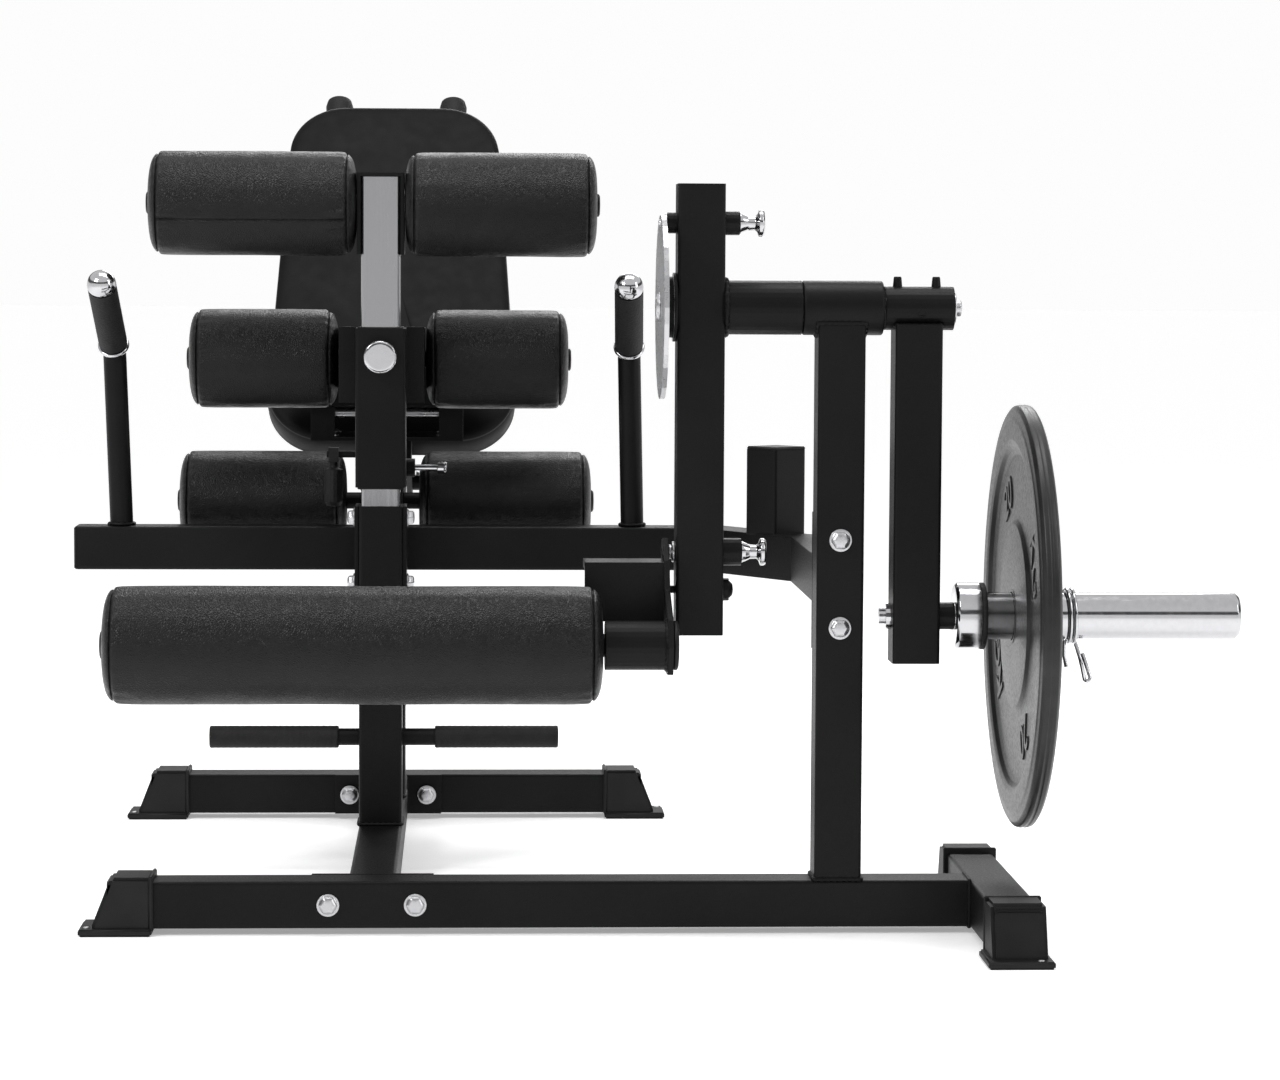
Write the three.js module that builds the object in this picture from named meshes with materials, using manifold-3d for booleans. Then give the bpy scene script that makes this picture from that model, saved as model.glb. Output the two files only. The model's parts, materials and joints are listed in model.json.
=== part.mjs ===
// Plate-loaded leg curl and leg extension machine, millimetres, +Z up.
// Layout frame: x from the machine's centreline (user's left is +x), y from the front face of the
// front base tube towards the backrest, z from the floor. The whole is then centred on its footprint.
import * as THREE from 'three';
import { mergeVertices } from 'three/addons/utils/BufferGeometryUtils.js';
import Module from 'manifold-3d';

const wasm = await Module();
wasm.setup();

// ---- driving dimensions ----
const CENTRE = { x: 283, y: 596.2 };       // middle of the footprint, seen from above
const TUBE = 50;                           // square frame tube
const WALL = 3;
const GAP = 0.3;                           // clearance between touching pieces
const BASE_Z = 7;                          // underside of the base tubes
const BASE_TOP = BASE_Z + TUBE;
const FRONT_BASE_LEFT = -278;
const SIDE_BASE = { x: 660, front: -183, back: 235 };
const REAR_BASE = { left: -303, right: 325, front: 855 };
const CAP = { grip: 47, top: 4, slope: 17, toe: 30, width: 57, height: 62, flange: 68, flangeZ: 8 };
const COLUMN = { y: 430, top: 429, inner: 45.6 };
const MAST = { size: 45, wall: 2.5, bottom: 205, top: 809 };
const FOOT_BAR = { z: 158, r: 10, left: -197, right: 205, grips: [[-199, -49], [63, 207]] };
const CROSS = { left: -356, split: 350, y: 492, z: 350.5, height: 50.5 };
const UPRIGHT = { x: 493.5, top: 655 };
const ELBOW = { start: 385, y: 318 };
const POST = { x: 456, size: 49, top: 498.5, turn: 39 };
const PIVOT = { y: 25, z: 663.5 };
const SHAFT = { r: 12.5, bore: 12.9, left: 298, right: 613 };
const HOUSING = { left: 453, right: 538, r: 28.75, inner: 20 };
const DISC = { left: 302.5, right: 307.5, r: 97, holeRing: 88.5, holes: 24, holeR: 5.4 };
const SWING = { x: 345, bottom: 318, top: 793, spacerEnd: 452, spacerR: 28.5 };
const PIN = { r: 4, hole: 4.75 };
const BRACKET = { y: 25, z: 365, pinRise: 40, plateLeft: 306, plateRight: 312, holes: 7, step: 10 };
const LEG_ROLLER = { y: -85, z: 316, left: -272, right: 240, r: 61, bore: 12.9 };
const WEIGHT_ARM = { x: 575, bottom: 288, top: -17, hubLeft: 540, hubRight: 613, hubR: 23 };
const HORN = { z: 337, axleR: 12, bore: 12.6, collar: 617.5, collarR: 35.5, sleeve: 650, r: 25, end: 922 };
const PLATE = { left: 678, right: 701, r: 225, bore: 25.9 };
const CLIP = { left: 734, right: 746, r: 31 };
const THIGH = { y: 430, z: 778, r: 60, spans: [[-267, -28], [28, 250]] };
const KNEE = { y: 530, z: 597, r: 58.5, spans: [[-228, -52], [51, 220]] };
const LOWER = { y: 605, z: 424, r: 60, spans: [[-245, -45], [42, 250]] };
const AXLE_R = 10;
const ROLLER_BORE = 10.8;
const CARRIAGE = { bottom: 451, top: 635, size: 58, inner: 45.8, knobZ: 602 };
const RAIL = { z: 467, tubeFront: 470, tubeBack: 700, inner: 45.2, size: 44.6, front: 495, back: 965 };
const RAIL_PIN = { y: 545, pitch: 10 };
const LEVER = { x: -58, y: 520, z: 484 };
const SEAT = { width: 333, front: 740, back: 1005, bottom: 533, thickness: 60, corner: 60 };
const BACK = { y: 1040, z: 425, incline: 56, start: 18, length: 546, gap: 28.6, thickness: 50 };
const BACK_WIDTH = { bottom: 333, top: 293, corner: 79 };
const BACK_PIN = { reach: 48, holes: 7, step: 25 / 3 };
const HANDLES = [
  { side: 'left', foot: -305, top: -313, tip: -318 },
  { side: 'right', foot: 296, top: 291, tip: 287 },
];
const HANDLE = { bendZ: 606, r: 13.5, gripR: 16.5, grip: [9, 118], drop: 0.77, rise: 0.64 };

// ---- materials ----
function finish(color, roughness, metalness) {
  return new THREE.MeshStandardMaterial({ color, roughness, metalness });
}
const paint = () => finish(0x17181a, 0.5, 0.3);
const vinyl = () => finish(0x141415, 0.55, 0);
const plastic = () => finish(0x1a1a1c, 0.6, 0);
const chrome = () => finish(0xd8dadd, 0.15, 1);
const rubber = () => finish(0x3a3b3d, 0.8, 0);

// ---- joining and cutting ----
function toSolid(geometry) {
  const bare = geometry.clone();
  bare.deleteAttribute('normal');
  bare.deleteAttribute('uv');
  const merged = mergeVertices(bare, 1e-4);
  const corners = [];
  for (let i = 0; i < merged.index.count; i += 3) {
    const [a, b, c] = [merged.index.getX(i), merged.index.getX(i + 1), merged.index.getX(i + 2)];
    if (a !== b && b !== c && a !== c) corners.push(a, b, c);
  }
  const vertProperties = Float32Array.from(merged.attributes.position.array);
  const mesh = new wasm.Mesh({ numProp: 3, vertProperties, triVerts: Uint32Array.from(corners) });
  return new wasm.Manifold(mesh);
}

function toGeometry(solid) {
  const mesh = solid.getMesh();
  const geometry = new THREE.BufferGeometry();
  geometry.setAttribute('position', new THREE.BufferAttribute(Float32Array.from(mesh.vertProperties), 3));
  geometry.setIndex(new THREE.BufferAttribute(Uint32Array.from(mesh.triVerts), 1));
  return geometry;
}

function join(...pieces) {
  return toGeometry(pieces.map(toSolid).reduce((all, piece) => all.add(piece)));
}

function cut(body, ...tools) {
  return toGeometry(tools.map(toSolid).reduce((rest, tool) => rest.subtract(tool), toSolid(body)));
}

// ---- shapes ----
// An extrusion along z turns to lie along x (section in y, z) or along y (section in z, x).
const TURNS = {
  x: new THREE.Matrix4().makeBasis(
    new THREE.Vector3(0, 1, 0), new THREE.Vector3(0, 0, 1), new THREE.Vector3(1, 0, 0)),
  y: new THREE.Matrix4().makeBasis(
    new THREE.Vector3(0, 0, 1), new THREE.Vector3(1, 0, 0), new THREE.Vector3(0, 1, 0)),
  z: new THREE.Matrix4(),
};

function extrude(shape, axis, from, to, curveSegments = 1) {
  const geometry = new THREE.ExtrudeGeometry(shape, { depth: to - from, bevelEnabled: false, curveSegments });
  return geometry.translate(0, 0, from).applyMatrix4(TURNS[axis]);
}

function roundedRect(width, height, radius) {
  const [w, h] = [width / 2, height / 2];
  const shape = new THREE.Shape();
  shape.moveTo(w, -h + radius);
  shape.lineTo(w, h - radius);
  shape.absarc(w - radius, h - radius, radius, 0, Math.PI / 2);
  shape.lineTo(-w + radius, h);
  shape.absarc(-w + radius, h - radius, radius, Math.PI / 2, Math.PI);
  shape.lineTo(-w, -h + radius);
  shape.absarc(-w + radius, -h + radius, radius, Math.PI, 1.5 * Math.PI);
  shape.lineTo(w - radius, -h);
  shape.absarc(w - radius, -h + radius, radius, 1.5 * Math.PI, 2 * Math.PI);
  return shape;
}

function bar(axis, from, to, size, radius = 3) {
  return extrude(roundedRect(size, size, radius), axis, from, to);
}

function squareTube(axis, from, to, size, inner) {
  const shape = roundedRect(size, size, 3);
  shape.holes.push(roundedRect(inner, inner, 1.5));
  return extrude(shape, axis, from, to);
}

function box(x0, x1, y0, y1, z0, z1) {
  const geometry = new THREE.BoxGeometry(x1 - x0, y1 - y0, z1 - z0);
  return geometry.translate((x0 + x1) / 2, (y0 + y1) / 2, (z0 + z1) / 2);
}

function polygon(points) {
  return new THREE.Shape(points.map(([a, b]) => new THREE.Vector2(a, b)));
}

function rod(axis, from, to, r, sides = 16) {
  const geometry = new THREE.CylinderGeometry(r, r, to - from, sides).rotateX(Math.PI / 2);
  return geometry.translate(0, 0, (from + to) / 2).applyMatrix4(TURNS[axis]);
}

function pipe(axis, from, to, outer, inner, sides = 24) {
  const shape = new THREE.Shape();
  shape.absarc(0, 0, outer, 0, 2 * Math.PI);
  const hole = new THREE.Path();
  hole.absarc(0, 0, inner, 0, 2 * Math.PI);
  shape.holes.push(hole);
  return extrude(shape, axis, from, to, sides / 2);
}

// A turned piece: profile of [radius, position along the axis] points.
function turned(axis, profile, sides = 20) {
  const points = profile.map(([r, along]) => new THREE.Vector2(r, along));
  return new THREE.LatheGeometry(points, sides).rotateX(Math.PI / 2).applyMatrix4(TURNS[axis]);
}

function closedRing(axis, profile, sides) {
  return turned(axis, [...profile, profile[0]], sides);
}

// ---- the machine ----
const machine = new THREE.Group();
machine.position.set(-CENTRE.x, -CENTRE.y, 0);

function place(name, geometry, material, x = 0, y = 0, z = 0, parent = machine) {
  const mesh = new THREE.Mesh(geometry, material);
  mesh.name = name;
  mesh.position.set(x, y, z);
  parent.add(mesh);
  return mesh;
}

// Moulded slip-over foot: the tube ends at x = 0 and the toe points along +x.
function footCapGeometry() {
  const side = [
    [0, -CAP.grip], [CAP.height, -CAP.grip], [CAP.height, -CAP.top],
    [CAP.flangeZ, CAP.slope], [0, CAP.slope],
  ];
  const body = extrude(polygon(side), 'y', -CAP.width / 2, CAP.width / 2);
  const flange = box(-CAP.grip, CAP.toe, -CAP.flange / 2, CAP.flange / 2, 0, CAP.flangeZ);
  const half = TUBE / 2 + GAP;
  const pocket = box(-CAP.grip - 1, GAP, -half, half, BASE_Z - GAP, BASE_TOP + GAP);
  return cut(join(body, flange), pocket);
}

function addFootCap(name, x, y, turnDegrees) {
  const cap = place(name, footCapGeometry(), plastic(), x, y, 0);
  cap.rotation.z = THREE.MathUtils.degToRad(turnDegrees);
}

function addBases() {
  const mid = BASE_Z + TUBE / 2;
  const sideLeft = SIDE_BASE.x - TUBE / 2;
  const inner = TUBE - 2 * WALL;
  place('front_base', squareTube('x', FRONT_BASE_LEFT, sideLeft - GAP, TUBE, inner), paint(), 0, 25, mid);
  place('side_base', squareTube('y', SIDE_BASE.front, SIDE_BASE.back, TUBE, inner), paint(),
    SIDE_BASE.x, 0, mid);
  place('rear_base', squareTube('x', REAR_BASE.left, REAR_BASE.right, TUBE, inner), paint(),
    0, REAR_BASE.front + TUBE / 2, mid);
  addFootCap('front_foot', FRONT_BASE_LEFT, 25, 180);
  addFootCap('side_foot_front', SIDE_BASE.x, SIDE_BASE.front, -90);
  addFootCap('side_foot_rear', SIDE_BASE.x, SIDE_BASE.back, 90);
  addFootCap('rear_foot_left', REAR_BASE.left, REAR_BASE.front + TUBE / 2, 180);
  addFootCap('rear_foot_right', REAR_BASE.right, REAR_BASE.front + TUBE / 2, 0);
  const frontPlate = box(-65, 65, TUBE + GAP, TUBE + 6, -TUBE / 2, TUBE / 2);
  const rearPlate = box(-68, 68, REAR_BASE.front - 6, REAR_BASE.front - GAP, -TUBE / 2, TUBE / 2);
  const beam = squareTube('y', TUBE + 5, REAR_BASE.front - 5, TUBE, inner);
  const drain = box(-12, 12, REAR_BASE.front - 12, REAR_BASE.front, -12, 12);
  place('lower_beam', cut(join(beam, frontPlate, rearPlate), drain), paint(), 0, 0, mid);
}

function addColumn() {
  const tube = squareTube('z', BASE_TOP + GAP, COLUMN.top, TUBE, COLUMN.inner);
  const flange = box(-24, 24, 24.5, 29.6, 320, 428.5);
  const bore = rod('x', -60, 60, FOOT_BAR.r + 0.6).translate(0, 0, FOOT_BAR.z);
  place('column', cut(join(tube, flange), bore), paint(), 0, COLUMN.y, 0);
  place('foot_bar', rod('x', FOOT_BAR.left, FOOT_BAR.right, FOOT_BAR.r), paint(),
    0, COLUMN.y, FOOT_BAR.z);
  for (const [index, [from, to]] of FOOT_BAR.grips.entries()) {
    const side = index === 0 ? 'left' : 'right';
    place(`foot_grip_${side}`, pipe('x', from, to, 13, ROLLER_BORE, 16), rubber(),
      0, COLUMN.y, FOOT_BAR.z);
  }
}

function addMast() {
  const tube = squareTube('z', MAST.bottom, MAST.top, MAST.size, MAST.size - 2 * MAST.wall);
  const axleBore = rod('x', -40, 40, AXLE_R + 0.6).translate(0, 0, THIGH.z);
  place('mast', cut(tube, axleBore), chrome(), 0, COLUMN.y, 0);
  const inside = MAST.size / 2 + GAP;
  const outside = inside + 4.5;
  const cheeks = [-1, 1].map((side) => {
    const [a, b] = [side * inside, side * outside].sort((p, q) => p - q);
    return box(a, b, -28, 28, 720, 814);
  });
  const lid = box(-outside, outside, -28, 28, MAST.top + GAP, 814);
  const axle = rod('x', THIGH.spans[0][0] - 3, THIGH.spans[1][1] + 3, AXLE_R).translate(0, 0, THIGH.z);
  place('thigh_bracket', join(...cheeks, lid, axle), paint(), 0, THIGH.y, 0);
}

// Padded roller with rounded shoulders, turned about x.
function rollerGeometry(from, to, r, bore) {
  const shoulder = 7;
  return closedRing('x', [
    [bore, from], [r - shoulder, from], [r, from + shoulder],
    [r, to - shoulder], [r - shoulder, to], [bore, to],
  ], 18);
}

function addRollers(name, place3, spec) {
  spec.spans.forEach(([from, to], index) => {
    const side = index === 0 ? 'left' : 'right';
    place3(`${name}_roller_${side}`, rollerGeometry(from, to, spec.r, ROLLER_BORE), vinyl(),
      0, spec.y, spec.z);
  });
}

function addCarriage() {
  const half = CARRIAGE.size / 2;
  const sleeve = squareTube('z', CARRIAGE.bottom, CARRIAGE.top, CARRIAGE.size, CARRIAGE.inner);
  const plate = box(-50, 50, half - 1, half + 8, 547, 636);
  const cheeks = [[-50, -44], [44, 50]].map(([a, b]) => box(a, b, half + 7, 122, 562, 634));
  const roof = box(-50, 50, half + 7, 80, 630, 634);
  const axleY = KNEE.y - COLUMN.y;
  const axle = rod('x', KNEE.spans[0][0] - 3, KNEE.spans[1][1] + 3, AXLE_R).translate(0, axleY, KNEE.z);
  const pinHole = rod('y', -40, -15, PIN.hole, 8).translate(0, 0, CARRIAGE.knobZ);
  place('knee_carriage', cut(join(sleeve, plate, ...cheeks, roof, axle), pinHole), paint(),
    0, COLUMN.y, 0);
  const face = -half - GAP;
  const clampTip = -MAST.size / 2 - GAP;
  place('carriage_knob', turned('y', [
    [0, face - 22], [13, face - 21], [18, face - 17], [19, face - 12], [19, face - 5],
    [10, face - 3], [10, face], [PIN.r, face], [PIN.r, clampTip], [0, clampTip],
  ], 20), chrome(), 0, COLUMN.y, CARRIAGE.knobZ);
}

function addCrossMember() {
  const inner = CROSS.height - 2 * WALL;
  const tube = squareTube('x', CROSS.left, CROSS.split, CROSS.height, inner);
  const [front, back] = [COLUMN.y - CROSS.y - 20, -CROSS.height / 2 + 0.5];
  const [low, high] = [-56, 53];
  const plate = box(-30, 30, -32, back, low, high);
  const cheeks = [-1, 1].map((side) => {
    const [a, b] = [side * (TUBE / 2 + GAP), side * 30].sort((p, q) => p - q);
    return box(a, b, front, -31, low, high);
  });
  place('cross_tube', join(tube, plate, ...cheeks), paint(), 0, CROSS.y, CROSS.z + CROSS.height / 2);
}

// Offsets a plan-view centreline by half a width on both sides with mitred corners.
function mitredOutline(points, half) {
  const sides = [-1, 1].map((sign) => points.map((point, i) => {
    const before = points[Math.max(i - 1, 0)];
    const after = points[Math.min(i + 1, points.length - 1)];
    const dirIn = new THREE.Vector2().subVectors(i ? point : after, i ? before : point).normalize();
    const last = i === points.length - 1;
    const dirOut = new THREE.Vector2().subVectors(last ? point : after, last ? before : point).normalize();
    const across = new THREE.Vector2(-dirIn.y - dirOut.y, dirIn.x + dirOut.x).normalize();
    const stretch = half / (across.x * -dirIn.y + across.y * dirIn.x);
    return new THREE.Vector2(point.x, point.y).addScaledVector(across, sign * stretch);
  }));
  return new THREE.Shape([...sides[0], ...sides[1].reverse()]);
}

function addElbow() {
  const route = [[CROSS.split + GAP, CROSS.y], [ELBOW.start, CROSS.y], [UPRIGHT.x, ELBOW.y],
    [UPRIGHT.x, TUBE + 5]].map(([x, y]) => new THREE.Vector2(x, y));
  const hollow = route.map((point) => point.clone());
  hollow[0].x -= 20;
  const bottom = CROSS.z;
  const top = CROSS.z + CROSS.height;
  const outer = extrude(mitredOutline(route, TUBE / 2), 'z', bottom, top);
  const inner = extrude(mitredOutline(hollow, TUBE / 2 - WALL), 'z', bottom + WALL, top - WALL);
  const flange = box(UPRIGHT.x - 25, UPRIGHT.x + 25, TUBE + GAP, TUBE + 7, 300, 446);
  const share = (POST.x - ELBOW.start) / (UPRIGHT.x - ELBOW.start);
  const postY = CROSS.y + share * (ELBOW.y - CROSS.y);
  const post = squareTube('z', top - 1, POST.top, POST.size, POST.size - 2 * WALL)
    .rotateZ(THREE.MathUtils.degToRad(POST.turn)).translate(POST.x, postY, 0);
  place('cross_elbow', join(cut(outer, inner), flange, post), paint());
}

function addUpright() {
  const tube = squareTube('z', BASE_TOP + GAP, UPRIGHT.top, TUBE, TUBE - 2 * WALL);
  const saddle = rod('x', -60, 60, HOUSING.r + 0.4, 32).translate(0, 0, PIVOT.z);
  place('upright', cut(tube, saddle), paint(), UPRIGHT.x, PIVOT.y, 0);
  place('bearing_housing', pipe('x', HOUSING.left, HOUSING.right, HOUSING.r, HOUSING.inner, 32), paint(),
    0, PIVOT.y, PIVOT.z);
  const spans = [['left', HOUSING.left + 1, HOUSING.left + 15],
    ['right', HOUSING.right - 15, HOUSING.right - 1]];
  for (const [side, from, to] of spans) {
    place(`bearing_${side}`, pipe('x', from, to, HOUSING.inner - 0.4, SHAFT.bore), chrome(),
      0, PIVOT.y, PIVOT.z);
  }
}

function addHandle({ side, foot, top, tip }) {
  const base = new THREE.Vector3(foot, CROSS.y, CROSS.z + CROSS.height + 1.2);
  const corner = new THREE.Vector3(top, CROSS.y, HANDLE.bendZ);
  const lean = new THREE.Vector3((tip - top) / 100, -HANDLE.drop, HANDLE.rise).normalize();
  const before = corner.clone().addScaledVector(corner.clone().sub(base).normalize(), -10);
  const after = corner.clone().addScaledVector(lean, 10);
  const end = corner.clone().addScaledVector(lean, HANDLE.grip[1] - 1);
  const path = new THREE.CurvePath();
  path.add(new THREE.LineCurve3(base, before));
  path.add(new THREE.QuadraticBezierCurve3(before, corner, after));
  path.add(new THREE.LineCurve3(after, end));
  const circle = new THREE.Shape();
  circle.absarc(0, 0, HANDLE.r, 0, 2 * Math.PI);
  const tube = new THREE.ExtrudeGeometry(circle, { extrudePath: path, steps: 16, curveSegments: 5 });
  place(`handle_${side}`, tube, paint());
  const turn = new THREE.Quaternion().setFromUnitVectors(new THREE.Vector3(0, 0, 1), lean);
  const [from, to] = HANDLE.grip;
  const grip = place(`handle_grip_${side}`, pipe('z', from + 7, to, HANDLE.gripR, HANDLE.r + 0.6, 20),
    rubber(), corner.x, corner.y, corner.z);
  grip.quaternion.copy(turn);
  const dome = turned('z', [[0, to + GAP], [HANDLE.gripR, to + GAP], [HANDLE.gripR, to + 5],
    [HANDLE.gripR * 0.85, to + 13], [HANDLE.gripR * 0.5, to + 18], [0, to + 20]], 16);
  const ball = place(`handle_cap_${side}`, dome, chrome(), corner.x, corner.y, corner.z);
  ball.quaternion.copy(turn);
}

function addSeatRail() {
  const outer = squareTube('y', RAIL.tubeFront, RAIL.tubeBack, TUBE, RAIL.inner).translate(0, 0, RAIL.z);
  const riserBottom = CROSS.z + CROSS.height + GAP;
  const riser = squareTube('z', riserBottom, RAIL.z - TUBE / 2 + 1, TUBE - 2, TUBE - 2 * WALL)
    .translate(0, RAIL.tubeFront + TUBE / 2, 0);
  const lugs = [[-24, -18], [18, 24]].map(([a, b]) => box(a, b, LOWER.y - 20, LOWER.y + 20, 405, 443));
  const barrel = rod('x', 24, 38, 11).translate(0, RAIL_PIN.y, RAIL.z);
  const axleHole = rod('x', -60, 60, AXLE_R + 0.6).translate(0, LOWER.y, LOWER.z);
  const pinHole = rod('x', 20, 60, PIN.hole, 8).translate(0, RAIL_PIN.y, RAIL.z);
  const leverPin = rod('x', LEVER.x - 8, -24, PIN.r).translate(0, LEVER.y, LEVER.z);
  const tube = cut(join(outer, riser, ...lugs, barrel, leverPin), axleHole, pinHole);
  place('seat_tube', tube, paint());
  place('rear_post', squareTube('z', BASE_TOP + GAP, RAIL.z - TUBE / 2 - GAP, TUBE, TUBE - 2 * WALL),
    paint(), 0, 665, 0);
  place('lower_axle', rod('x', LOWER.spans[0][0] - 3, LOWER.spans[1][1] + 3, AXLE_R), paint(),
    0, LOWER.y, LOWER.z);
  place('rail_pin', turned('x', [[0, 19.5], [PIN.r, 19.5], [PIN.r, 64], [7, 65], [7, 72], [0, 73]], 16),
    chrome(), 0, RAIL_PIN.y, RAIL.z);
  const grip = turned('z', [[0, -62], [8, -61], [11, -56], [11, -18], [6, -16], [4.5, -14],
    [4.5, 2], [0, 2]], 16);
  const eye = box(-6, 6, -8, 8, -9, 8);
  const eyeHole = rod('x', -10, 10, PIN.hole, 8);
  place('rail_lever', cut(join(grip, eye), eyeHole), rubber(), LEVER.x, LEVER.y, LEVER.z);
}

function addSeat() {
  const rail = squareTube('y', RAIL.front, RAIL.back, RAIL.size, RAIL.size - 5).translate(0, 0, RAIL.z);
  const holes = [-3, -2, -1, 0, 1, 2, 3].map((step) => rod('x', 10, 40, PIN.hole, 8)
    .translate(0, RAIL_PIN.y + step * RAIL_PIN.pitch, RAIL.z));
  const half = RAIL.size / 2;
  const ear = polygon([[900, 488], [955, 488], [972, 447], [1062, 447], [1062, 403], [968, 403],
    [900, 447]]);
  const ears = [[-half - 6, -half + 0.5], [half - 0.5, half + 6]].map(([a, b]) => extrude(ear, 'x', a, b));
  const barrel = rod('x', half + 5, half + 18, 10).translate(0, BACK.y - BACK_PIN.reach, BACK.z);
  const pivot = rod('x', -50, 50, 8.6).translate(0, BACK.y, BACK.z);
  const lock = rod('x', 10, 60, PIN.hole, 8).translate(0, BACK.y - BACK_PIN.reach, BACK.z);
  place('seat_rail', cut(join(rail, ...ears, barrel), ...holes, pivot, lock), paint());
  const low = RAIL.z + half + GAP;
  const high = SEAT.bottom - GAP;
  const [front, back] = [SEAT.front + 15, SEAT.front + 195];
  const sides = [-1, 1].flatMap((side) => {
    const edge = [side * 90, side * 95].sort((a, b) => a - b);
    const flange = [side * 65, side * 95].sort((a, b) => a - b);
    return [box(...edge, front, back, low, high), box(...flange, front, front + 5, low, high)];
  });
  place('seat_bracket', join(box(-95, 95, front, back, low, low + 5), ...sides), paint());
  const outline = roundedRect(SEAT.width, SEAT.back - SEAT.front, SEAT.corner);
  place('seat_pad', extrude(outline, 'z', 0, SEAT.thickness, 4), vinyl(),
    0, (SEAT.front + SEAT.back) / 2, SEAT.bottom);
  place('back_pin', turned('x', [[0, 15.5], [PIN.r, 15.5], [PIN.r, half + 18.5], [8, half + 19],
    [8, half + 26], [12, half + 32], [12, half + 38], [0, half + 40]], 16), chrome(),
    0, BACK.y - BACK_PIN.reach, BACK.z);
}

// Backrest pieces are drawn lying down: y runs up the pad from the hinge, z out of its front face.
function addBackrest() {
  const back = new THREE.Group();
  back.position.set(0, BACK.y, BACK.z);
  back.rotation.x = THREE.MathUtils.degToRad(BACK.incline);
  machine.add(back);
  const spine = box(-15, 15, -20, 470, -12, BACK.gap - GAP - 5);
  const board = box(-70, 70, BACK.start + 60, BACK.start + 470, BACK.gap - 6, BACK.gap - GAP);
  const crossbar = box(-92, 92, 430, 455, -14, 12);
  const rods = [-80, 80].map((x) => rod('y', 440, 620, 10).translate(x, 0, -6));
  const pivot = rod('x', -36, 36, 8);
  const sector = new THREE.Shape();
  const start = THREE.MathUtils.degToRad(180 - BACK.incline - 12);
  const sweep = THREE.MathUtils.degToRad(74);
  sector.moveTo(0, 0);
  sector.absarc(0, 0, BACK_PIN.reach + 13, start, start + sweep);
  sector.lineTo(0, 0);
  const quadrant = extrude(sector, 'x', 14, 20, 5);
  const holes = Array.from({ length: BACK_PIN.holes }, (_, step) => {
    const angle = THREE.MathUtils.degToRad(180 - BACK.incline + step * BACK_PIN.step);
    return rod('x', 15.2, 22, PIN.hole, 8)
      .translate(0, BACK_PIN.reach * Math.cos(angle), BACK_PIN.reach * Math.sin(angle));
  });
  const frame = cut(join(spine, board, crossbar, ...rods, quadrant, pivot), ...holes);
  place('back_frame', frame, paint(), 0, 0, 0, back);
  place('back_pad', backPadGeometry(), vinyl(), 0, BACK.start, BACK.gap, back);
  for (const [side, x] of [['left', -80], ['right', 80]]) {
    place(`back_grip_${side}`, pipe('y', 480, 626, 18, 10.6, 20), rubber(), x, 0, -6, back);
  }
}

function backPadGeometry() {
  const [wide, narrow, r] = [BACK_WIDTH.bottom / 2, BACK_WIDTH.top / 2, BACK_WIDTH.corner];
  const shape = new THREE.Shape();
  shape.moveTo(wide, r);
  shape.lineTo(narrow, BACK.length - r);
  shape.absarc(narrow - r, BACK.length - r, r, 0, Math.PI / 2);
  shape.lineTo(-narrow + r, BACK.length);
  shape.absarc(-narrow + r, BACK.length - r, r, Math.PI / 2, Math.PI);
  shape.lineTo(-wide, r);
  shape.absarc(-wide + r, r, r, Math.PI, 1.5 * Math.PI);
  shape.lineTo(wide - r, 0);
  shape.absarc(wide - r, r, r, 1.5 * Math.PI, 2 * Math.PI);
  return extrude(shape, 'z', 0, BACK.thickness, 4);
}

function addShaft() {
  place('main_shaft', rod('x', SHAFT.left, SHAFT.right, SHAFT.r, 24), chrome(), 0, PIVOT.y, PIVOT.z);
  const disc = rod('x', DISC.left, DISC.right, DISC.r, 36);
  const hub = rod('x', DISC.right - 1, 317, 31.5, 24);
  const shoulder = rod('x', 316, 319.5, 36, 24);
  const cuts = [rod('x', DISC.left - 5, 325, SHAFT.bore, 24)];
  for (let i = 0; i < DISC.holes; i += 1) {
    const angle = (i * 2 * Math.PI) / DISC.holes;
    cuts.push(rod('x', DISC.left - 1, DISC.right + 1, DISC.holeR, 8)
      .translate(0, DISC.holeRing * Math.cos(angle), DISC.holeRing * Math.sin(angle)));
  }
  place('index_disc', cut(join(disc, hub, shoulder), ...cuts), chrome(), 0, PIVOT.y, PIVOT.z);
}

function pullPin(left, face, flare) {
  return turned('x', [[0, left], [PIN.r - 1, left], [PIN.r, left + 2], [PIN.r, face], [11.5, face],
    [7.2, face + 9], [7.2, face + 16], [flare, face + 20], [flare, face + 24], [flare - 2, face + 26], [0, face + 26]], 18);
}

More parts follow.
